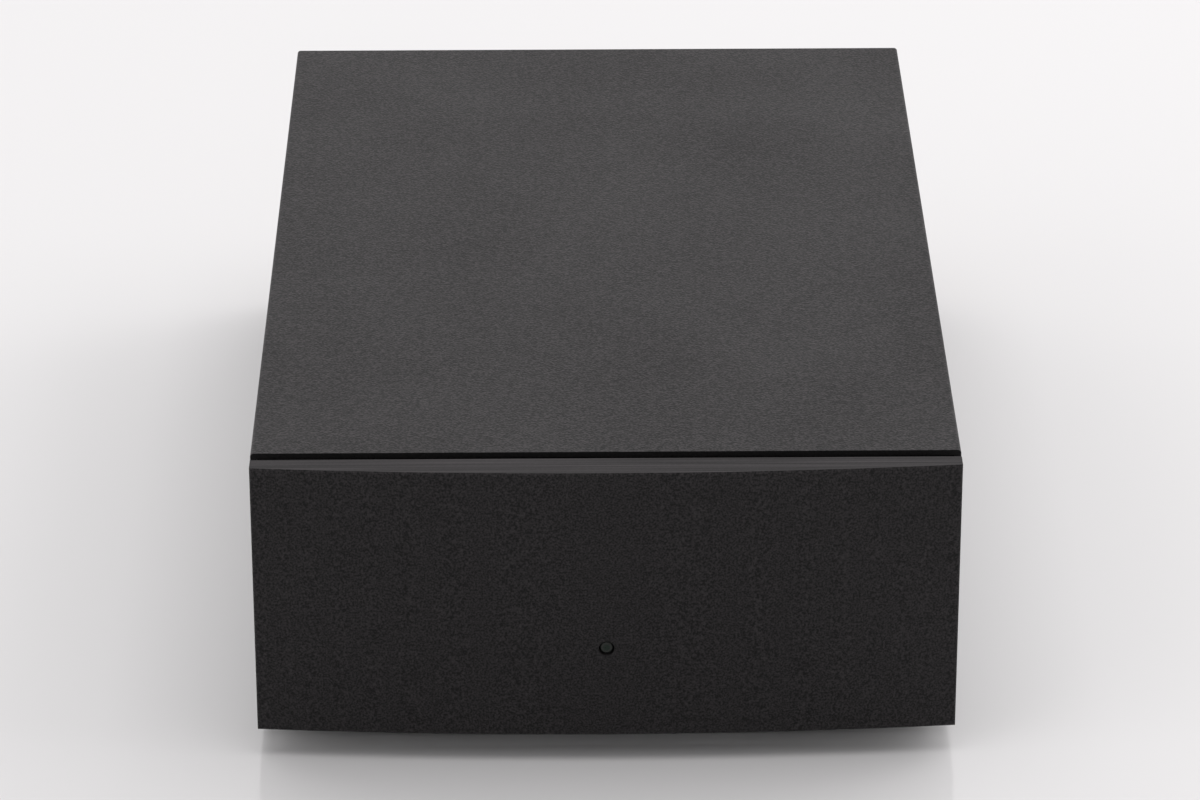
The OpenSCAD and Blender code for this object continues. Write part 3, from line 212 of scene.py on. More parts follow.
class Finish:
    """A node material on Object coordinates, put together one pattern at a time."""

    def __init__(self, name, colour, roughness, metallic=0.0, specular=0.5):
        self.material = bpy.data.materials.new(name)
        self.material.use_nodes = True
        self.nodes = self.material.node_tree.nodes
        self.links = self.material.node_tree.links
        self.shader = next(n for n in self.nodes if n.type == "BSDF_PRINCIPLED")
        self.colour = (*colour, 1.0)
        self.shader.inputs["Base Color"].default_value = self.colour
        self.shader.inputs["Roughness"].default_value = roughness
        self.shader.inputs["Metallic"].default_value = metallic
        self.shader.inputs["Specular IOR Level"].default_value = specular
        self.place = self.nodes.new("ShaderNodeTexCoord").outputs["Object"]

    def add(self, kind, inputs, **settings):
        """A new node. Its inputs are given by name or number, each as a socket or a plain value."""
        node = self.nodes.new("ShaderNode" + kind)
        for key, value in settings.items():
            setattr(node, key, value)
        for key, value in inputs.items():
            if isinstance(value, bpy.types.NodeSocket):
                self.links.new(value, node.inputs[key])
            else:
                node.inputs[key].default_value = value
        return node

    def scaled(self, size, stretch, offset=(0, 0, 0)):
        """Object coordinates counted in patches of that size, drawn out by stretch."""
        scale = [1 / (size * s) for s in stretch]
        inputs = {"Vector": self.place, "Scale": scale, "Location": offset}
        return self.add("Mapping", inputs).outputs[0]

    def noise(self, size, detail=2.0, stretch=(1, 1, 1), offset=(0, 0, 0)):
        """Soft random patches of about that size."""
        where = self.scaled(size, stretch, offset)
        return self.add("TexNoise", {"Vector": where, "Scale": 1.0, "Detail": detail}).outputs[0]

    def cells(self, size):
        """Rounded grains of about that size, with one random colour for each."""
        where = self.scaled(size, (1, 1, 1))
        return self.add("TexVoronoi", {"Vector": where, "Scale": 1.0}).outputs["Color"]

    def calc(self, operation, a, b=0.0):
        """A sum, product or other result of two numbers, each a socket or a plain value."""
        return self.add("Math", {0: a, 1: b}, operation=operation).outputs[0]

    def vector(self, operation, a, b=(0, 0, 0)):
        """A sum, product or other result of two vectors, each a socket or a plain value."""
        return self.add("VectorMath", {0: a, 1: b}, operation=operation).outputs[0]

    def spread(self, value, low, high, to_low=0.0, to_high=1.0):
        """A value's range from low to high, laid out from to_low to to_high and held there."""
        ranges = {"From Min": low, "From Max": high, "To Min": to_low, "To Max": to_high}
        return self.add("MapRange", {"Value": value, **ranges}).outputs[0]

    def mix(self, factor, a, b):
        """A colour between a and b, each a socket or a plain colour."""
        ends = [c if isinstance(c, bpy.types.NodeSocket) else (*c, 1.0) for c in (a, b)]
        return self.add("Mix", {0: factor, 6: ends[0], 7: ends[1]}, data_type="RGBA").outputs[2]

    def shade(self, factor, share):
        """The finish's colour, darker and lighter by a share as the factor goes from 0 to 1."""
        dark = [c * (1 - share) for c in self.colour[:3]]
        light = [min(1.0, c * (1 + share)) for c in self.colour[:3]]
        return self.mix(factor, dark, light)

    def bump(self, height, depth, normal=None):
        """A normal tilted by a height pattern of that depth."""
        inputs = {"Height": height, "Distance": depth}
        if normal is not None:
            inputs["Normal"] = normal
        return self.add("Bump", inputs).outputs[0]

    def axis(self, name):
        """One Object coordinate, X, Y or Z, in metres."""
        return self.add("SeparateXYZ", {0: self.place}).outputs[name]

    def facing(self, name):
        """One part of the surface's own normal, X, Y or Z."""
        normal = self.add("NewGeometry", {}).outputs["Normal"]
        return self.add("SeparateXYZ", {0: normal}).outputs[name]

    def use(self, **sockets):
        """Links patterns to the shader's inputs, named with underscores for spaces."""
        for name, socket in sockets.items():
            self.links.new(socket, self.shader.inputs[name.replace("_", " ")])
        return self.material


def wear(material, *names):
    """Gives a finish to CAD nodes."""
    for name in names:
        slots = NODES[name].material_slots
        if not slots:
            NODES[name].data.materials.append(material)
        for slot in slots:
            slot.material = material


# ---- Finishes ----

def textured_paint(name, colour, gloss, width, ground, case):
    """Fine powder coat: pale grains fused into a dark ground, cloudiness, and rare paler specks.

    The ground is the range of the grain pattern in which dark goes over into pale. Gives the paint
    and its patterns of colour, roughness and height."""
    coarse_width = width * 2.2
    fine_share = 0.8
    speck_rarity = (0.965, 0.99)
    speck_strength, speck_colour = 0.4, [c * 5 for c in colour]
    paint = Finish(name, colour, case.roughness, specular=gloss)
    fine = paint.noise(width, detail=1.0)
    coarse = paint.noise(coarse_width, detail=1.0, offset=(5, 3, 8))
    clouds = paint.noise(0.03, detail=2.0)
    grain = paint.calc("ADD", paint.calc("MULTIPLY", fine, fine_share),
                       paint.calc("MULTIPLY", coarse, 1 - fine_share))
    tint = paint.spread(grain, *ground)
    coat = paint.mix(tint, [c * case.dark_grain for c in colour],
                     [c * case.light_grain for c in colour])
    speck = paint.spread(paint.cells(coarse_width), *speck_rarity)
    coat = paint.mix(paint.calc("MULTIPLY", speck, speck_strength), coat, speck_colour)
    worn = paint.calc("ADD", paint.calc("MULTIPLY", tint, -0.5), clouds)
    rough = paint.spread(worn, -0.2, 0.8, case.roughness - 0.08, case.roughness + 0.08)
    return paint, coat, rough, grain


def cover_paint(case):
    """The cover's and the chassis's paint, with painted shade: darker and matt where it faces the
    gap.
    """
    paint, coat, rough, height = textured_paint(
        "cover_paint", case.cover_colour, case.cover_gloss, case.cover_grain, COVER_GROUND, case)
    gap_depth, gap_roughness, forwards = 4 * MM, 0.9, (-0.9, -0.95)
    # Painted shade: the forward-facing paint in the gap is darkened to a tenth of its colour,
    # standing in for the shade between the panel and the cover
    gap_shade_colour = [c * 0.1 for c in case.cover_colour]
    gap_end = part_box("top_cover")[0].y + gap_depth
    in_gap = paint.calc("MULTIPLY", paint.spread(paint.facing("Y"), *forwards),
                        paint.spread(paint.axis("Y"), gap_end, gap_end - 0.1 * MM))
    gap_shaded_coat = paint.mix(paint.calc("MULTIPLY", in_gap, case.gap_shade), coat, gap_shade_colour)
    matt = paint.calc("MAXIMUM", rough, paint.calc("MULTIPLY", in_gap, gap_roughness))
    return paint.use(Base_Color=gap_shaded_coat, Roughness=matt, Normal=paint.bump(height, case.grain_depth))


def panel_paint(case):
    """The panel's paint: grained on its bowed face, and thinly over saw lines on its cut edges."""
    paint, coat, rough, height = textured_paint(
        "panel_paint", case.panel_colour, case.panel_gloss, case.panel_grain, PANEL_GROUND, case)
    forwards, upwards = (-0.97, -0.98), (0.85, 0.9)
    line_stretch, line_height, line_range = (90, 1, 1), 0.35, (0.36, 0.64)
    dark_line = [c * 1.2 for c in case.panel_colour]
    pale_line = [c * 4.0 for c in case.panel_colour]
    low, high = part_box("front_panel")
    half = (high.x - low.x) / 2
    bow_radius = (half ** 2 + PANEL_BOW ** 2) / (2 * PANEL_BOW)
    centre = (0, low.y + bow_radius, 0)
    from_axis = paint.vector("SUBTRACT", paint.place, centre)
    outwards = paint.vector("NORMALIZE", paint.vector("MULTIPLY", from_axis, (1, 1, 0)))
    plain = paint.add("NewGeometry", {}).outputs["Normal"]
    on_face = paint.spread(paint.facing("Y"), *forwards)
    normal = paint.add("Mix", {0: on_face, 4: plain, 5: outwards}, data_type="VECTOR").outputs[1]
    on_edge = paint.spread(paint.facing("Z"), *upwards)
    lines = paint.noise(case.saw_pitch, detail=2.0, stretch=line_stretch)
    edge_height = paint.calc("MULTIPLY", lines, line_height)
    mixed_height = paint.add("Mix", {0: on_edge, 2: height, 3: edge_height}).outputs[0]
    edge_coat = paint.mix(paint.spread(lines, *line_range), dark_line, pale_line)
    coat = paint.mix(on_edge, coat, edge_coat)
    return paint.use(Base_Color=coat, Roughness=rough,
                     Normal=paint.bump(mixed_height, case.grain_depth, normal))


def plated(name, colour, roughness, turning=0.0):
    """Plated metal with a faint cloudiness, and fine lathe marks round Y where turning is given."""
    metal = Finish(name, colour, roughness, metallic=1.0)
    clouds = metal.noise(0.004, detail=3.0)
    scuffs = metal.noise(0.0011, detail=3.0, stretch=(1, 1, 3))
    coat = metal.shade(metal.spread(clouds, *MOST), 0.05)
    gloss = metal.spread(scuffs, *MOST, roughness - 0.03, roughness + 0.05)
    if turning:
        height = metal.noise(turning, detail=1.0, stretch=(400, 1, 400))
    else:
        height = metal.noise(0.0003, detail=2.0)
    return metal.use(Base_Color=coat, Roughness=gloss, Normal=metal.bump(height, 0.000003))


def moulded(name, colour, roughness, texture=0.00018, specular=0.5):
    """Moulded plastic: an even colour with slight flow marks and a fine eroded texture."""
    plastic = Finish(name, colour, roughness, specular=specular)
    flow = plastic.noise(0.003, detail=2.0)
    skin = plastic.noise(texture, detail=2.0)
    coat = plastic.shade(plastic.spread(flow, *MOST), 0.06)
    gloss = plastic.spread(skin, *MOST, roughness - 0.05, roughness + 0.06)
    return plastic.use(Base_Color=coat, Roughness=gloss, Normal=plastic.bump(skin, 0.000006))


def foot_rubber(plastics):
    """Matt rubber with a faint bloom."""
    rubber = Finish("foot_rubber", plastics.rubber, 0.75, specular=0.3)
    bloom = rubber.noise(0.0025, detail=4.0)
    skin = rubber.noise(0.00025, detail=3.0)
    coat = rubber.shade(rubber.spread(bloom, 0.35, 0.65), 0.3)
    gloss = rubber.spread(bloom, *MOST, 0.66, 0.84)
    return rubber.use(Base_Color=coat, Roughness=gloss, Normal=rubber.bump(skin, 0.00002))


def unlit_pipe(light):
    """Tinted clear plastic that shows dark: deep green in the middle, greyer towards the rim."""
    pipe = Finish("light_pipe", light.pipe_colour, 0.3, specular=0.22)
    core_radius, rim_radius, unevenness = 0.5 * MM, 0.8 * MM, 0.2 * MM
    offset = pipe.vector("SUBTRACT", pipe.place, (0, 0, middle("light_pipe").z))
    flat = pipe.vector("MULTIPLY", offset, (1, 0, 1))
    radius = pipe.add("VectorMath", {0: flat}, operation="LENGTH").outputs["Value"]
    streaks = pipe.noise(0.0003, detail=2.0)
    uneven = pipe.calc("ADD", radius, pipe.calc("MULTIPLY", streaks, unevenness))
    body = pipe.shade(pipe.spread(streaks, *MOST), 0.2)
    coat = pipe.mix(pipe.spread(uneven, core_radius, rim_radius), light.core_colour, body)
    gloss = pipe.spread(streaks, *MOST, 0.24, 0.38)
    return pipe.use(Base_Color=coat, Roughness=gloss, Normal=pipe.bump(streaks, 0.000004))


def lamp_epoxy(metals):
    """Clear tinted epoxy above, tinned legs below it."""
    lamp = Finish("lamp_epoxy", (0.62, 0.70, 0.60), 0.12, specular=0.5)
    epoxy_height = 3.9 * MM
    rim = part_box("power_led")[1].z - epoxy_height
    on_leg = lamp.spread(lamp.axis("Z"), rim, rim - 0.05 * MM)
    haze = lamp.noise(0.0008, detail=2.0)
    coat = lamp.mix(on_leg, lamp.shade(lamp.spread(haze, *MOST), 0.12), tuple(metals.tin))
    return lamp.use(Base_Color=coat, Metallic=on_leg,
                    Roughness=lamp.spread(haze, *MOST, 0.08, 0.2))


def circuit_board(board):
    """Glossy solder resist over copper tracks that run lengthwise, with a paler laminate edge."""
    resist = Finish("circuit_board", board.resist, 0.32, specular=0.5)
    lanes = resist.noise(0.0016, detail=0.0, stretch=(1, 14, 1))
    track = resist.spread(lanes, 0.52, 0.535)
    weave = resist.noise(0.0004, detail=1.0)
    over_copper, laminate_edge = (0.020, 0.15, 0.060), (0.30, 0.27, 0.12)
    coat = resist.mix(track, resist.shade(resist.spread(weave, *MOST), 0.12), over_copper)
    side = resist.spread(resist.calc("ABSOLUTE", resist.facing("Z")), 0.6, 0.5)
    coat = resist.mix(side, coat, laminate_edge)
    height = resist.calc("ADD", track, resist.calc("MULTIPLY", weave, 0.15))
    return resist.use(Base_Color=coat, Normal=resist.bump(height, 0.00002),
                      Roughness=resist.spread(weave, *MOST, 0.28, 0.38))


def from_middle(finish, middle_x, pitch):
    """Distance in X from the nearest of a row of middles."""
    shifted = finish.calc("SUBTRACT", finish.axis("X"), middle_x - pitch / 2)
    wrapped = finish.calc("FLOORED_MODULO", shifted, pitch)
    return finish.calc("SUBTRACT", wrapped, pitch / 2)


def banded_resistor(board, metals):
    """Pale lacquer with five narrow rings round each body, and tinned legs outside the bodies."""
    resistor = Finish("resistor_lacquer", board.lacquer, 0.35, specular=0.5)
    half_with_legs, half_body, half_ring = 5.3 * MM, 3.1 * MM, 0.26 * MM
    last_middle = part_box("resistors")[1].x - half_with_legs
    along = from_middle(resistor, last_middle, CHANNEL_PITCH)
    haze = resistor.noise(0.0007, detail=2.0)
    coat = resistor.shade(resistor.spread(haze, *MOST), 0.1)
    for place, colour in RESISTOR_RINGS:
        away = resistor.calc("ABSOLUTE", resistor.calc("SUBTRACT", along, place))
        on_ring = resistor.spread(away, half_ring + 0.02 * MM, half_ring - 0.02 * MM)
        coat = resistor.mix(on_ring, coat, colour)
    on_leg = resistor.spread(resistor.calc("ABSOLUTE", along), half_body + 0.005 * MM,
                             half_body + 0.02 * MM)
    coat = resistor.mix(on_leg, coat, tuple(metals.tin))
    return resistor.use(Base_Color=coat, Metallic=on_leg, Normal=resistor.bump(haze, 0.00001),
                        Roughness=resistor.spread(haze, *MOST, 0.28, 0.42))


def can_sleeve(board, metals):
    """Shrunk sleeve with a pale stripe down one side, and the bare can's top inside its rim."""
    can = Finish("can_sleeve", board.sleeve, 0.3, specular=0.5)
    haze = can.noise(0.0012, detail=2.0)
    coat = can.shade(can.spread(haze, *MOST), 0.12)
    stripe_colour = (0.42, 0.43, 0.45)
    stripe = can.spread(can.facing("X"), 0.93, 0.94)
    coat = can.mix(stripe, coat, stripe_colour)
    top = can.spread(can.facing("Z"), 0.95, 0.96)
    coat = can.mix(top, coat, tuple(metals.zinc))
    return can.use(Base_Color=coat, Metallic=top, Normal=can.bump(haze, 0.00002),
                   Roughness=can.spread(haze, *MOST, 0.24, 0.38))


def chip_epoxy(name, middle_x, pitch, half, leg_top, metals):
    """Matt moulded epoxy with tinned legs: below a height, and outside the body's two sides."""
    epoxy = Finish(name, (0.016, 0.016, 0.018), 0.55, specular=0.4)
    skin = epoxy.noise(0.0002, detail=2.0)
    coat = epoxy.shade(epoxy.spread(skin, *MOST), 0.15)
    below = epoxy.spread(epoxy.axis("Z"), leg_top, leg_top - 0.02 * MM)
    away = epoxy.calc("ABSOLUTE", from_middle(epoxy, middle_x, pitch))
    outside = epoxy.spread(away, half + 0.01 * MM, half + 0.02 * MM)
    leg = epoxy.calc("MAXIMUM", below, outside)
    coat = epoxy.mix(leg, coat, tuple(metals.tin))
    return epoxy.use(Base_Color=coat, Metallic=leg, Normal=epoxy.bump(skin, 0.000008),
                     Roughness=epoxy.spread(skin, *MOST, 0.48, 0.62))


def wound_choke(board):
    """Enamelled wire wound between two dark ferrite flanges, with painted shade in the grooves
    between the turns.
    """
    choke = Finish("choke_wire", board.copper, 0.3, specular=0.5)
    wire_r, lower_flange, upper_flange, edge = 0.25 * MM, 1.5 * MM, 7.5 * MM, 0.02 * MM
    rise = choke.calc("SUBTRACT", choke.axis("Z"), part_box("supply_choke")[0].z)
    turn = choke.calc("PINGPONG", rise, wire_r)
    wound = choke.calc("MULTIPLY", choke.spread(rise, lower_flange - edge, lower_flange + edge),
                       choke.spread(rise, upper_flange + edge, upper_flange - edge))
    grit = choke.noise(0.0004, detail=3.0)
    ferrite = choke.mix(choke.spread(grit, *MOST), (0.020, 0.020, 0.022), (0.045, 0.044, 0.046))
    # Painted shade: each turn of wire darkens towards the grooves on either side of it
    groove_shade_colour = (0.10, 0.035, 0.012)
    wire = choke.mix(choke.spread(turn, 0.0, wire_r), groove_shade_colour, tuple(board.copper))
    coat = choke.mix(wound, ferrite, wire)
    return choke.use(Base_Color=coat, Roughness=choke.spread(wound, 0.0, 1.0, 0.7, 0.3),
                     Normal=choke.bump(choke.calc("MULTIPLY", turn, wound), 0.6))


def anodised():
    """Black anodised extrusion with drawing lines up its length."""
    metal = Finish("black_anodised", (0.022, 0.022, 0.025), 0.42, metallic=0.6)
    lines = metal.noise(0.00025, detail=2.0, stretch=(1, 1, 80))
    coat = metal.shade(metal.spread(lines, *MOST), 0.2)
    return metal.use(Base_Color=coat, Roughness=metal.spread(lines, *MOST, 0.36, 0.5),
                     Normal=metal.bump(lines, 0.00001))


def laminate():
    """Brown phenolic board with its paper layers showing on the sides."""
    sheet = Finish("phenolic", (0.060, 0.028, 0.014), 0.45, specular=0.45)
    layers = sheet.noise(0.00015, detail=1.0, stretch=(40, 1, 40))
    fibres = sheet.noise(0.0005, detail=3.0)
    tint = sheet.calc("ADD", sheet.calc("MULTIPLY", layers, 0.5),
                      sheet.calc("MULTIPLY", fibres, 0.5))
    return sheet.use(Base_Color=sheet.shade(sheet.spread(tint, 0.35, 0.65), 0.25),
                     Roughness=sheet.spread(fibres, *MOST, 0.4, 0.52),
                     Normal=sheet.bump(tint, 0.00001))


# ---- New pieces ----

def new_piece(name, bm, body, material):
    """A finished mesh object at the origin that rides on a body."""
    bmesh.ops.remove_doubles(bm, verts=bm.verts, dist=0.000001)
    bmesh.ops.recalc_face_normals(bm, faces=bm.faces)
    mesh = bpy.data.meshes.new(name)
    bm.to_mesh(mesh)
    bm.free()
    mesh.materials.append(material)
    piece = bpy.data.objects.new(name, mesh)
    bpy.context.scene.collection.objects.link(piece)
    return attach(piece, body)


def out_of_rear(x, z):
    """Turns local +Z out of the rear panel and local +Y up, as someone behind it sees them."""
    turn = Matrix(((-1, 0, 0), (0, 0, 1), (0, 1, 0))).to_4x4()
    return Matrix.Translation((x, REAR_Y, z)) @ turn


def threaded_post(post):
    """The ground terminal's post: a hexagonal collar with eased edges on a stud with a thread."""
    low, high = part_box("ground_post")
    tail, tip = low.y - REAR_Y, high.y - REAR_Y
    bm = bmesh.new()
    add_collar(bm, (high.x - low.x) / 2)
    nose = 0.4 * MM
    for start, end, r1, r2 in ((tail, tip - nose, post.root, post.root),
                               (tip - nose, tip, post.root, post.root - nose / 2)):
        rod = bmesh.ops.create_cone(bm, segments=post.steps, radius1=r1, radius2=r2,
                                    depth=end - start, cap_ends=True)["verts"]
        bmesh.ops.translate(bm, verts=rod, vec=(0, 0, (start + end) / 2))
    add_thread(bm, post, tail, tip - nose)
    at = out_of_rear((low.x + high.x) / 2, (low.z + high.z) / 2)
    bmesh.ops.transform(bm, matrix=at, verts=bm.verts)
    return bm


def add_collar(bm, corner_radius):
    """A hexagon that stands on the rear panel, with its edges eased."""
    height, ease = 2.0 * MM, 0.18 * MM
    collar = bmesh.ops.create_cone(bm, segments=6, radius1=corner_radius, radius2=corner_radius,
                                   depth=height, cap_ends=True)["verts"]
    edges = list({e for v in collar for e in v.link_edges})
    bmesh.ops.bevel(bm, geom=edges, offset=ease, offset_type="OFFSET", affect="EDGES",
                    segments=2, profile=0.5, material=-1)
    turned = Matrix.Translation((0, 0, height / 2)) @ Matrix.Rotation(math.radians(30), 4, "Z")
    bmesh.ops.transform(bm, matrix=turned, verts=bm.verts)


def add_thread(bm, post, bottom, top):
    """A ridge wound round the stud from the bottom to the top, sunk a little way into it."""
    crest = 2.0 * MM
    inner = post.root - 0.04 * MM
    flank, flat = post.pitch * 0.44, post.pitch * 0.07
    ridge = bmesh.new()
    profile = [(inner, -flank), (crest, -flat), (crest, flat), (inner, flank)]
    corners = [ridge.verts.new((r, 0, z)) for r, z in profile]
    loop = [ridge.edges.new((corners[i], corners[(i + 1) % 4])) for i in range(4)]
    start = bottom + flank
    turns = (top - flank - start) / post.pitch
    steps = int(turns * post.steps)
    bmesh.ops.spin(ridge, geom=corners + loop, cent=(0, 0, 0), axis=(0, 0, 1),
                   dvec=(0, 0, post.pitch / post.steps), angle=steps * 2 * math.pi / post.steps,
                   steps=steps, use_duplicate=False)
    bmesh.ops.holes_fill(ridge, edges=[e for e in ridge.edges if e.is_boundary], sides=4)
    bmesh.ops.translate(ridge, verts=ridge.verts, vec=(0, 0, start))
    bmesh.ops.recalc_face_normals(ridge, faces=ridge.faces)
    scratch = bpy.data.meshes.new("thread_ridge")
    ridge.to_mesh(scratch)
    ridge.free()
    bm.from_mesh(scratch)
    bpy.data.meshes.remove(scratch)


# ---- Operators ----

class OBJECT_OT_case_finish(bpy.types.Operator):
    """Paint the cover, the chassis and the front panel"""

    bl_idname = "object.preamp_case_finish"
    bl_label = "Case finish"

    def execute(self, context):
        case = context.scene.preamp_case
        wear(cover_paint(case), "top_cover", "chassis_base")
        wear(panel_paint(case), "front_panel")
        return {"FINISHED"}


class OBJECT_OT_power_light(bpy.types.Operator):
    """Finish the light pipe and the lamp behind it"""

    bl_idname = "object.preamp_power_light"
    bl_label = "Power light"

    def execute(self, context):
        wear(unlit_pipe(context.scene.preamp_light), "light_pipe")
        wear(lamp_epoxy(context.scene.preamp_metals), "power_led")
        return {"FINISHED"}


class OBJECT_OT_feet(bpy.types.Operator):
    """Finish the rubber feet"""

    bl_idname = "object.preamp_feet"
    bl_label = "Feet"

    def execute(self, context):
        wear(foot_rubber(context.scene.preamp_plastics), "feet")
        return {"FINISHED"}


class OBJECT_OT_fasteners(bpy.types.Operator):
    """Finish the screws, nuts, spacers and standoffs"""

    bl_idname = "object.preamp_fasteners"
    bl_label = "Fasteners"

    def execute(self, context):
        metals = context.scene.preamp_metals
        wear(plated("zinc_steel", metals.zinc, 0.38), "front_spacers", "front_screws",
             "clinch_nuts", "foot_screws", "foot_nuts", "board_standoffs", "board_screws",
             "regulator_screws")
        black = Finish("black_screws", metals.black_oxide, 0.4, metallic=0.3)
        skin = black.noise(0.0002, detail=3.0)
        wear(black.use(Base_Color=black.shade(black.spread(skin, *MOST), 0.2),
                       Roughness=black.spread(skin, *MOST, 0.34, 0.5),
                       Normal=black.bump(skin, 0.000008)), "cover_screws", "selector_screws")
        return {"FINISHED"}


class OBJECT_OT_sockets(bpy.types.Operator):
    """Finish the four phono sockets and what holds them"""

    bl_idname = "object.preamp_sockets"
    bl_label = "Phono sockets"

    def execute(self, context):
        metals, plastics = context.scene.preamp_metals, context.scene.preamp_plastics
        ends = [f"{use}_{{}}_{side}" for use in ("input", "output") for side in ("left", "right")]
        gold = plated("gold_plate", metals.gold, 0.2, metals.turning)
        wear(gold, *[e.format(part) for e in ends for part in ("socket", "contact")], "socket_nuts")
        wear(moulded("socket_insulator", plastics.insulator, 0.45),
             *[e.format("insulator") for e in ends])
        wear(moulded("white_ring", plastics.white, 0.42), "left_socket_rings")
        wear(moulded("red_ring", plastics.red, 0.42), "right_socket_rings")
        wear(moulded("black_washer", plastics.black, 0.5), "socket_inner_washers")
        wear(plated("tinned_tags", metals.tin, 0.34), "socket_solder_tags")
        return {"FINISHED"}


class OBJECT_OT_ground_terminal(bpy.types.Operator):
    """Cut the ground post's thread and finish the terminal"""

    bl_idname = "object.preamp_ground_terminal"
    bl_label = "Ground terminal"

    def execute(self, context):
        metals = context.scene.preamp_metals
        nickel = plated("nickel_turned", metals.nickel, 0.24, metals.turning)
        shape = threaded_post(context.scene.preamp_post)
        post = new_piece("ground_post_threaded", shape, CHASSIS, nickel)
        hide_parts("ground_post")
        wear(nickel, "ground_post", "ground_washer", "ground_lock_nut")
        wear(plated("gold_knurled", metals.gold, 0.26, metals.turning), "ground_nut")
        wear(plated("tinned_lug", metals.tin, 0.34), "ground_lug")
        return {"FINISHED"}


class OBJECT_OT_selector(bpy.types.Operator):
    """Finish the cartridge selector"""

    bl_idname = "object.preamp_selector"
    bl_label = "Cartridge selector"

    def execute(self, context):
        metals, plastics = context.scene.preamp_metals, context.scene.preamp_plastics
        wear(moulded("selector_knob", plastics.black, 0.4), "selector_slider")
        wear(laminate(), "selector_housing")
        wear(plated("selector_frame", metals.zinc, 0.3), "selector_frame")
        wear(plated("selector_tin", metals.tin, 0.34), "selector_terminals")
        return {"FINISHED"}


class OBJECT_OT_power_inlet(bpy.types.Operator):
    """Finish the power inlet"""

    bl_idname = "object.preamp_power_inlet"
    bl_label = "Power inlet"

    def execute(self, context):
        metals, plastics = context.scene.preamp_metals, context.scene.preamp_plastics
        wear(moulded("inlet_black", plastics.black, 0.38), "inlet_body")
        wear(plated("inlet_nickel", metals.nickel, 0.22, metals.turning),
             "inlet_contacts", "inlet_nut")
        return {"FINISHED"}


class OBJECT_OT_board(bpy.types.Operator):
    """Finish the circuit board and its components"""

    bl_idname = "object.preamp_board"
    bl_label = "Circuit board"

    def execute(self, context):
        board, metals = context.scene.preamp_board, context.scene.preamp_metals
        wear(circuit_board(board), "main_board")
        wear(banded_resistor(board, metals), "resistors")
        wear(can_sleeve(board, metals), "signal_capacitors", "supply_capacitors")
        wear(moulded("dipped_film", board.film, 0.18, texture=0.0008), "film_capacitors")
        wear(wound_choke(board), "supply_choke")
        wear(anodised(), "heat_sinks")
        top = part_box("main_board")[1].z
        chip_half, chip_leg = 3.175 * MM, 0.15 * MM
        last_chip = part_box("op_amps")[1].x - chip_half - chip_leg
        wear(chip_epoxy("chip_epoxy", last_chip, CHANNEL_PITCH, chip_half, top + 0.5 * MM, metals),
             "op_amps")
        # The regulators stand one behind the other, so a pitch wider than the case fits both
        wear(chip_epoxy("regulator_epoxy", middle("regulators").x, 0.2, 5.0 * MM, top + 4.0 * MM,
                        metals), "regulators")
        return {"FINISHED"}


class OBJECT_OT_wires(bpy.types.Operator):
    """Finish the wires behind the rear panel"""

    bl_idname = "object.preamp_wires"
    bl_label = "Wires"

    def execute(self, context):
        plastics = context.scene.preamp_plastics
        sleeves = {"left_signal_wires": plastics.white, "right_signal_wires": plastics.red,
                   "ground_wires": plastics.black, "supply_wires": plastics.red,
                   "selector_wires": plastics.grey}
        for name, colour in sleeves.items():
            wear(moulded(name + "_sleeve", colour, 0.36, texture=0.0005), name)
        return {"FINISHED"}


# ---- Studio ----

# Each lamp's direction round the object from +X and above the floor, its distance, its width and
# height, and its power in watts
LAMPS = {
    "top_lamp": (0, 90, 1.5, 1.4, 1.4, 8.3),
    "right_lamp": (10, 32, 1.5, 1.4, 1.2, 5.8),
    "back_right_lamp": (45, 32, 1.5, 1.4, 1.2, 5.3),
    "back_lamp": (90, 35, 1.5, 1.2, 0.9, 1.6),
    "back_left_lamp": (135, 30, 1.5, 1.1, 1.0, 2.3),
    "left_lamp": (180, 34, 1.5, 1.3, 1.2, 0.3),
    "left_front_lamp": (210, 28, 1.5, 1.2, 0.9, 2.4),
}


def soft_lamp(name, around, above, distance, width, height, power, colour):
    """A rectangular lamp that faces the object, and that no camera or reflection sees."""
    around, above = math.radians(around), math.radians(above)
    outwards = Vector((math.cos(above) * math.cos(around), math.cos(above) * math.sin(around),
                       math.sin(above)))
    data = bpy.data.lights.new(name, "AREA")
    data.shape = "RECTANGLE"
    data.size, data.size_y = width, height
    data.energy = power
    data.color = colour
    lamp = bpy.data.objects.new(name, data)
    place = middle("main_board") + outwards * distance
    turn = outwards.to_track_quat("Z", "Y").to_matrix().to_4x4()
    lamp.matrix_world = Matrix.Translation(place) @ turn
    lamp.visible_camera = False
    lamp.visible_glossy = False
    bpy.context.scene.collection.objects.link(lamp)


def floor_finish(studio):
    """Glossy pale sheet, a little uneven."""
    sheet = Finish("studio_floor", studio.floor, studio.floor_roughness, specular=0.5)
    smears = sheet.noise(0.35, detail=3.0)
    return sheet.use(Base_Color=sheet.shade(sheet.spread(smears, *MOST), 0.008),
                     Roughness=sheet.spread(smears, *MOST, studio.floor_roughness - 0.02,
                                            studio.floor_roughness + 0.03))


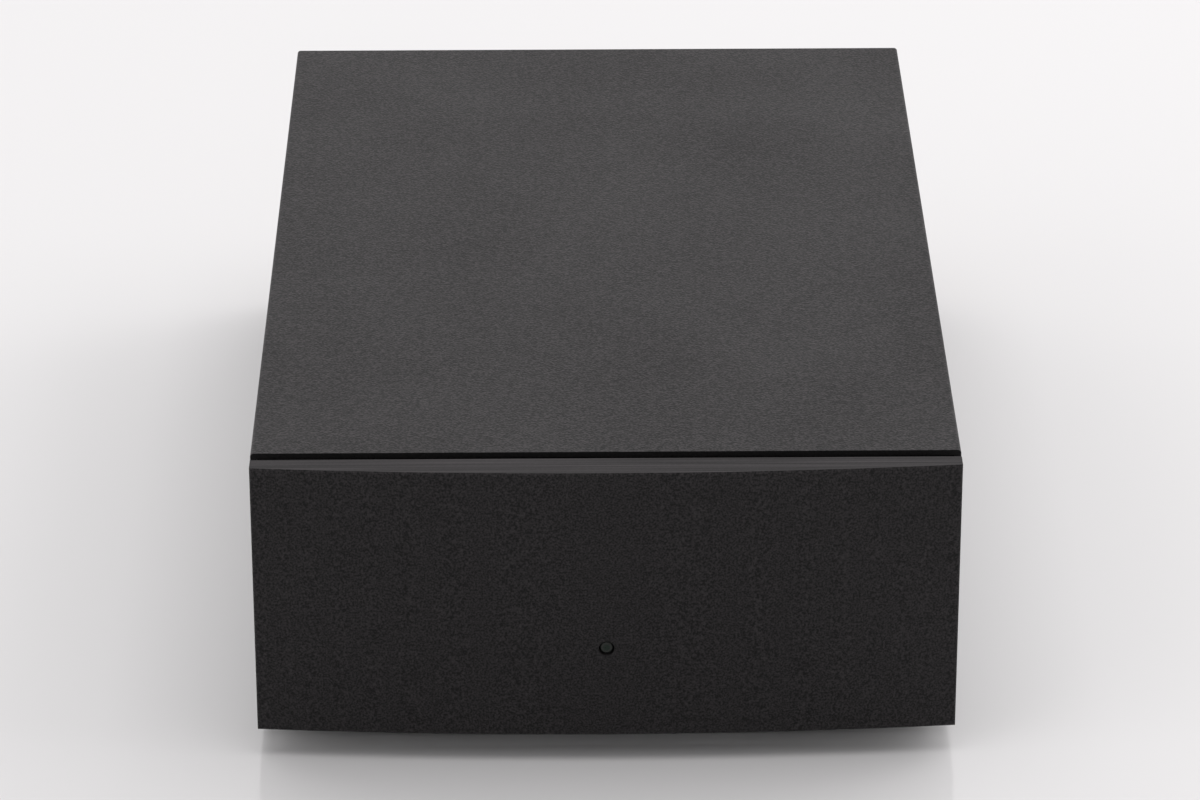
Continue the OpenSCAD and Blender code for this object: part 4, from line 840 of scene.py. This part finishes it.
def pale_room(scene, strength, light_colour, seen_colour):
    """Even light from all round, with a paler room where the camera or a reflection looks at it."""
    world = bpy.data.worlds.new("studio_room")
    world.use_nodes = True
    scene.world = world
    nodes, links = world.node_tree.nodes, world.node_tree.links
    light = nodes["Background"]
    light.inputs["Color"].default_value = (*light_colour, 1)
    light.inputs["Strength"].default_value = strength
    seen = nodes.new("ShaderNodeBackground")
    seen.inputs["Color"].default_value = (*seen_colour, 1)
    path = nodes.new("ShaderNodeLightPath")
    looked_at = path.outputs["Is Camera Ray"]
    for kind in ("Is Glossy Ray", "Is Transmission Ray"):
        either = nodes.new("ShaderNodeMath")
        either.operation = "MAXIMUM"
        links.new(looked_at, either.inputs[0])
        links.new(path.outputs[kind], either.inputs[1])
        looked_at = either.outputs[0]
    choice = nodes.new("ShaderNodeMixShader")
    links.new(looked_at, choice.inputs["Fac"])
    links.new(light.outputs[0], choice.inputs[1])
    links.new(seen.outputs[0], choice.inputs[2])
    links.new(choice.outputs[0], nodes["World Output"].inputs["Surface"])


def pale_floor(studio):
    """A wide round sheet under the object."""
    bm = bmesh.new()
    bmesh.ops.create_circle(bm, cap_ends=True, segments=64, radius=9.0)
    mesh = bpy.data.meshes.new("studio_floor")
    bm.to_mesh(mesh)
    bm.free()
    mesh.materials.append(floor_finish(studio))
    floor = bpy.data.objects.new("studio_floor", mesh)
    bpy.context.scene.collection.objects.link(floor)


def front_camera(scene, lens):
    """The camera in front of the object and above it."""
    yaw, pitch, roll = CAMERA_YAW, CAMERA_PITCH, CAMERA_ROLL
    ahead = Vector((math.sin(yaw) * math.cos(pitch), math.cos(yaw) * math.cos(pitch),
                    math.sin(pitch)))
    sideways = Vector((math.cos(yaw), -math.sin(yaw), 0))
    upright = sideways.cross(ahead)
    right = math.cos(roll) * sideways + math.sin(roll) * upright
    up = math.cos(roll) * upright - math.sin(roll) * sideways
    data = bpy.data.cameras.new("camera")
    data.sensor_width = 36.0
    data.lens = lens
    data.clip_start, data.clip_end = 0.05, 50.0
    camera = bpy.data.objects.new("camera", data)
    turn = Matrix((right, up, -ahead)).transposed().to_4x4()
    camera.matrix_world = Matrix.Translation(CAMERA_PLACE) @ turn
    scene.collection.objects.link(camera)
    scene.camera = camera


class OBJECT_OT_studio(bpy.types.Operator):
    """Set up the floor, the lamps and the camera"""

    bl_idname = "object.preamp_studio"
    bl_label = "Studio"

    def execute(self, context):
        scene = context.scene
        studio = scene.preamp_studio
        pale_floor(studio)
        for name, (*place, watts) in LAMPS.items():
            soft_lamp(name, *place, watts * studio.level, studio.lamp_colour)
        pale_room(scene, studio.room, studio.lamp_colour, studio.backdrop)
        front_camera(scene, studio.lens)
        scene.view_settings.view_transform = "Standard"
        return {"FINISHED"}


OPERATORS = (
    OBJECT_OT_case_finish, OBJECT_OT_power_light, OBJECT_OT_feet, OBJECT_OT_fasteners,
    OBJECT_OT_sockets, OBJECT_OT_ground_terminal, OBJECT_OT_selector, OBJECT_OT_power_inlet,
    OBJECT_OT_board, OBJECT_OT_wires, OBJECT_OT_studio,
)


class VIEW3D_PT_preamp(bpy.types.Panel):
    """Sizes, colours and steps of the phono preamp"""

    bl_label = "Phono preamp"
    bl_idname = "VIEW3D_PT_preamp"
    bl_space_type = "VIEW_3D"
    bl_region_type = "UI"
    bl_category = "Phono preamp"

    def draw(self, context):
        for name in GROUPS:
            settings = getattr(context.scene, name)
            box = self.layout.box()
            for key in settings.__annotations__:
                box.prop(settings, key)
        for operator in OPERATORS:
            self.layout.operator(operator.bl_idname)


GROUPS = {
    "preamp_case": CaseFinish, "preamp_light": LightFinish, "preamp_metals": MetalFinish,
    "preamp_plastics": PlasticFinish, "preamp_board": BoardFinish,
    "preamp_post": PostSizes, "preamp_studio": StudioSettings,
}


def register():
    for cls in (*GROUPS.values(), *OPERATORS, VIEW3D_PT_preamp):
        bpy.utils.register_class(cls)
    for name, group in GROUPS.items():
        setattr(bpy.types.Scene, name, PointerProperty(type=group))


def unregister():
    for name in GROUPS:
        delattr(bpy.types.Scene, name)
    for cls in reversed((*GROUPS.values(), *OPERATORS, VIEW3D_PT_preamp)):
        bpy.utils.unregister_class(cls)


def main():
    register()
    bpy.ops.object.preamp_studio()
    bpy.ops.object.preamp_case_finish()
    bpy.ops.object.preamp_power_light()
    bpy.ops.object.preamp_feet()
    bpy.ops.object.preamp_fasteners()
    bpy.ops.object.preamp_sockets()
    bpy.ops.object.preamp_ground_terminal()
    bpy.ops.object.preamp_selector()
    bpy.ops.object.preamp_power_inlet()
    bpy.ops.object.preamp_board()
    bpy.ops.object.preamp_wires()


if __name__ == "__main__":
    main()
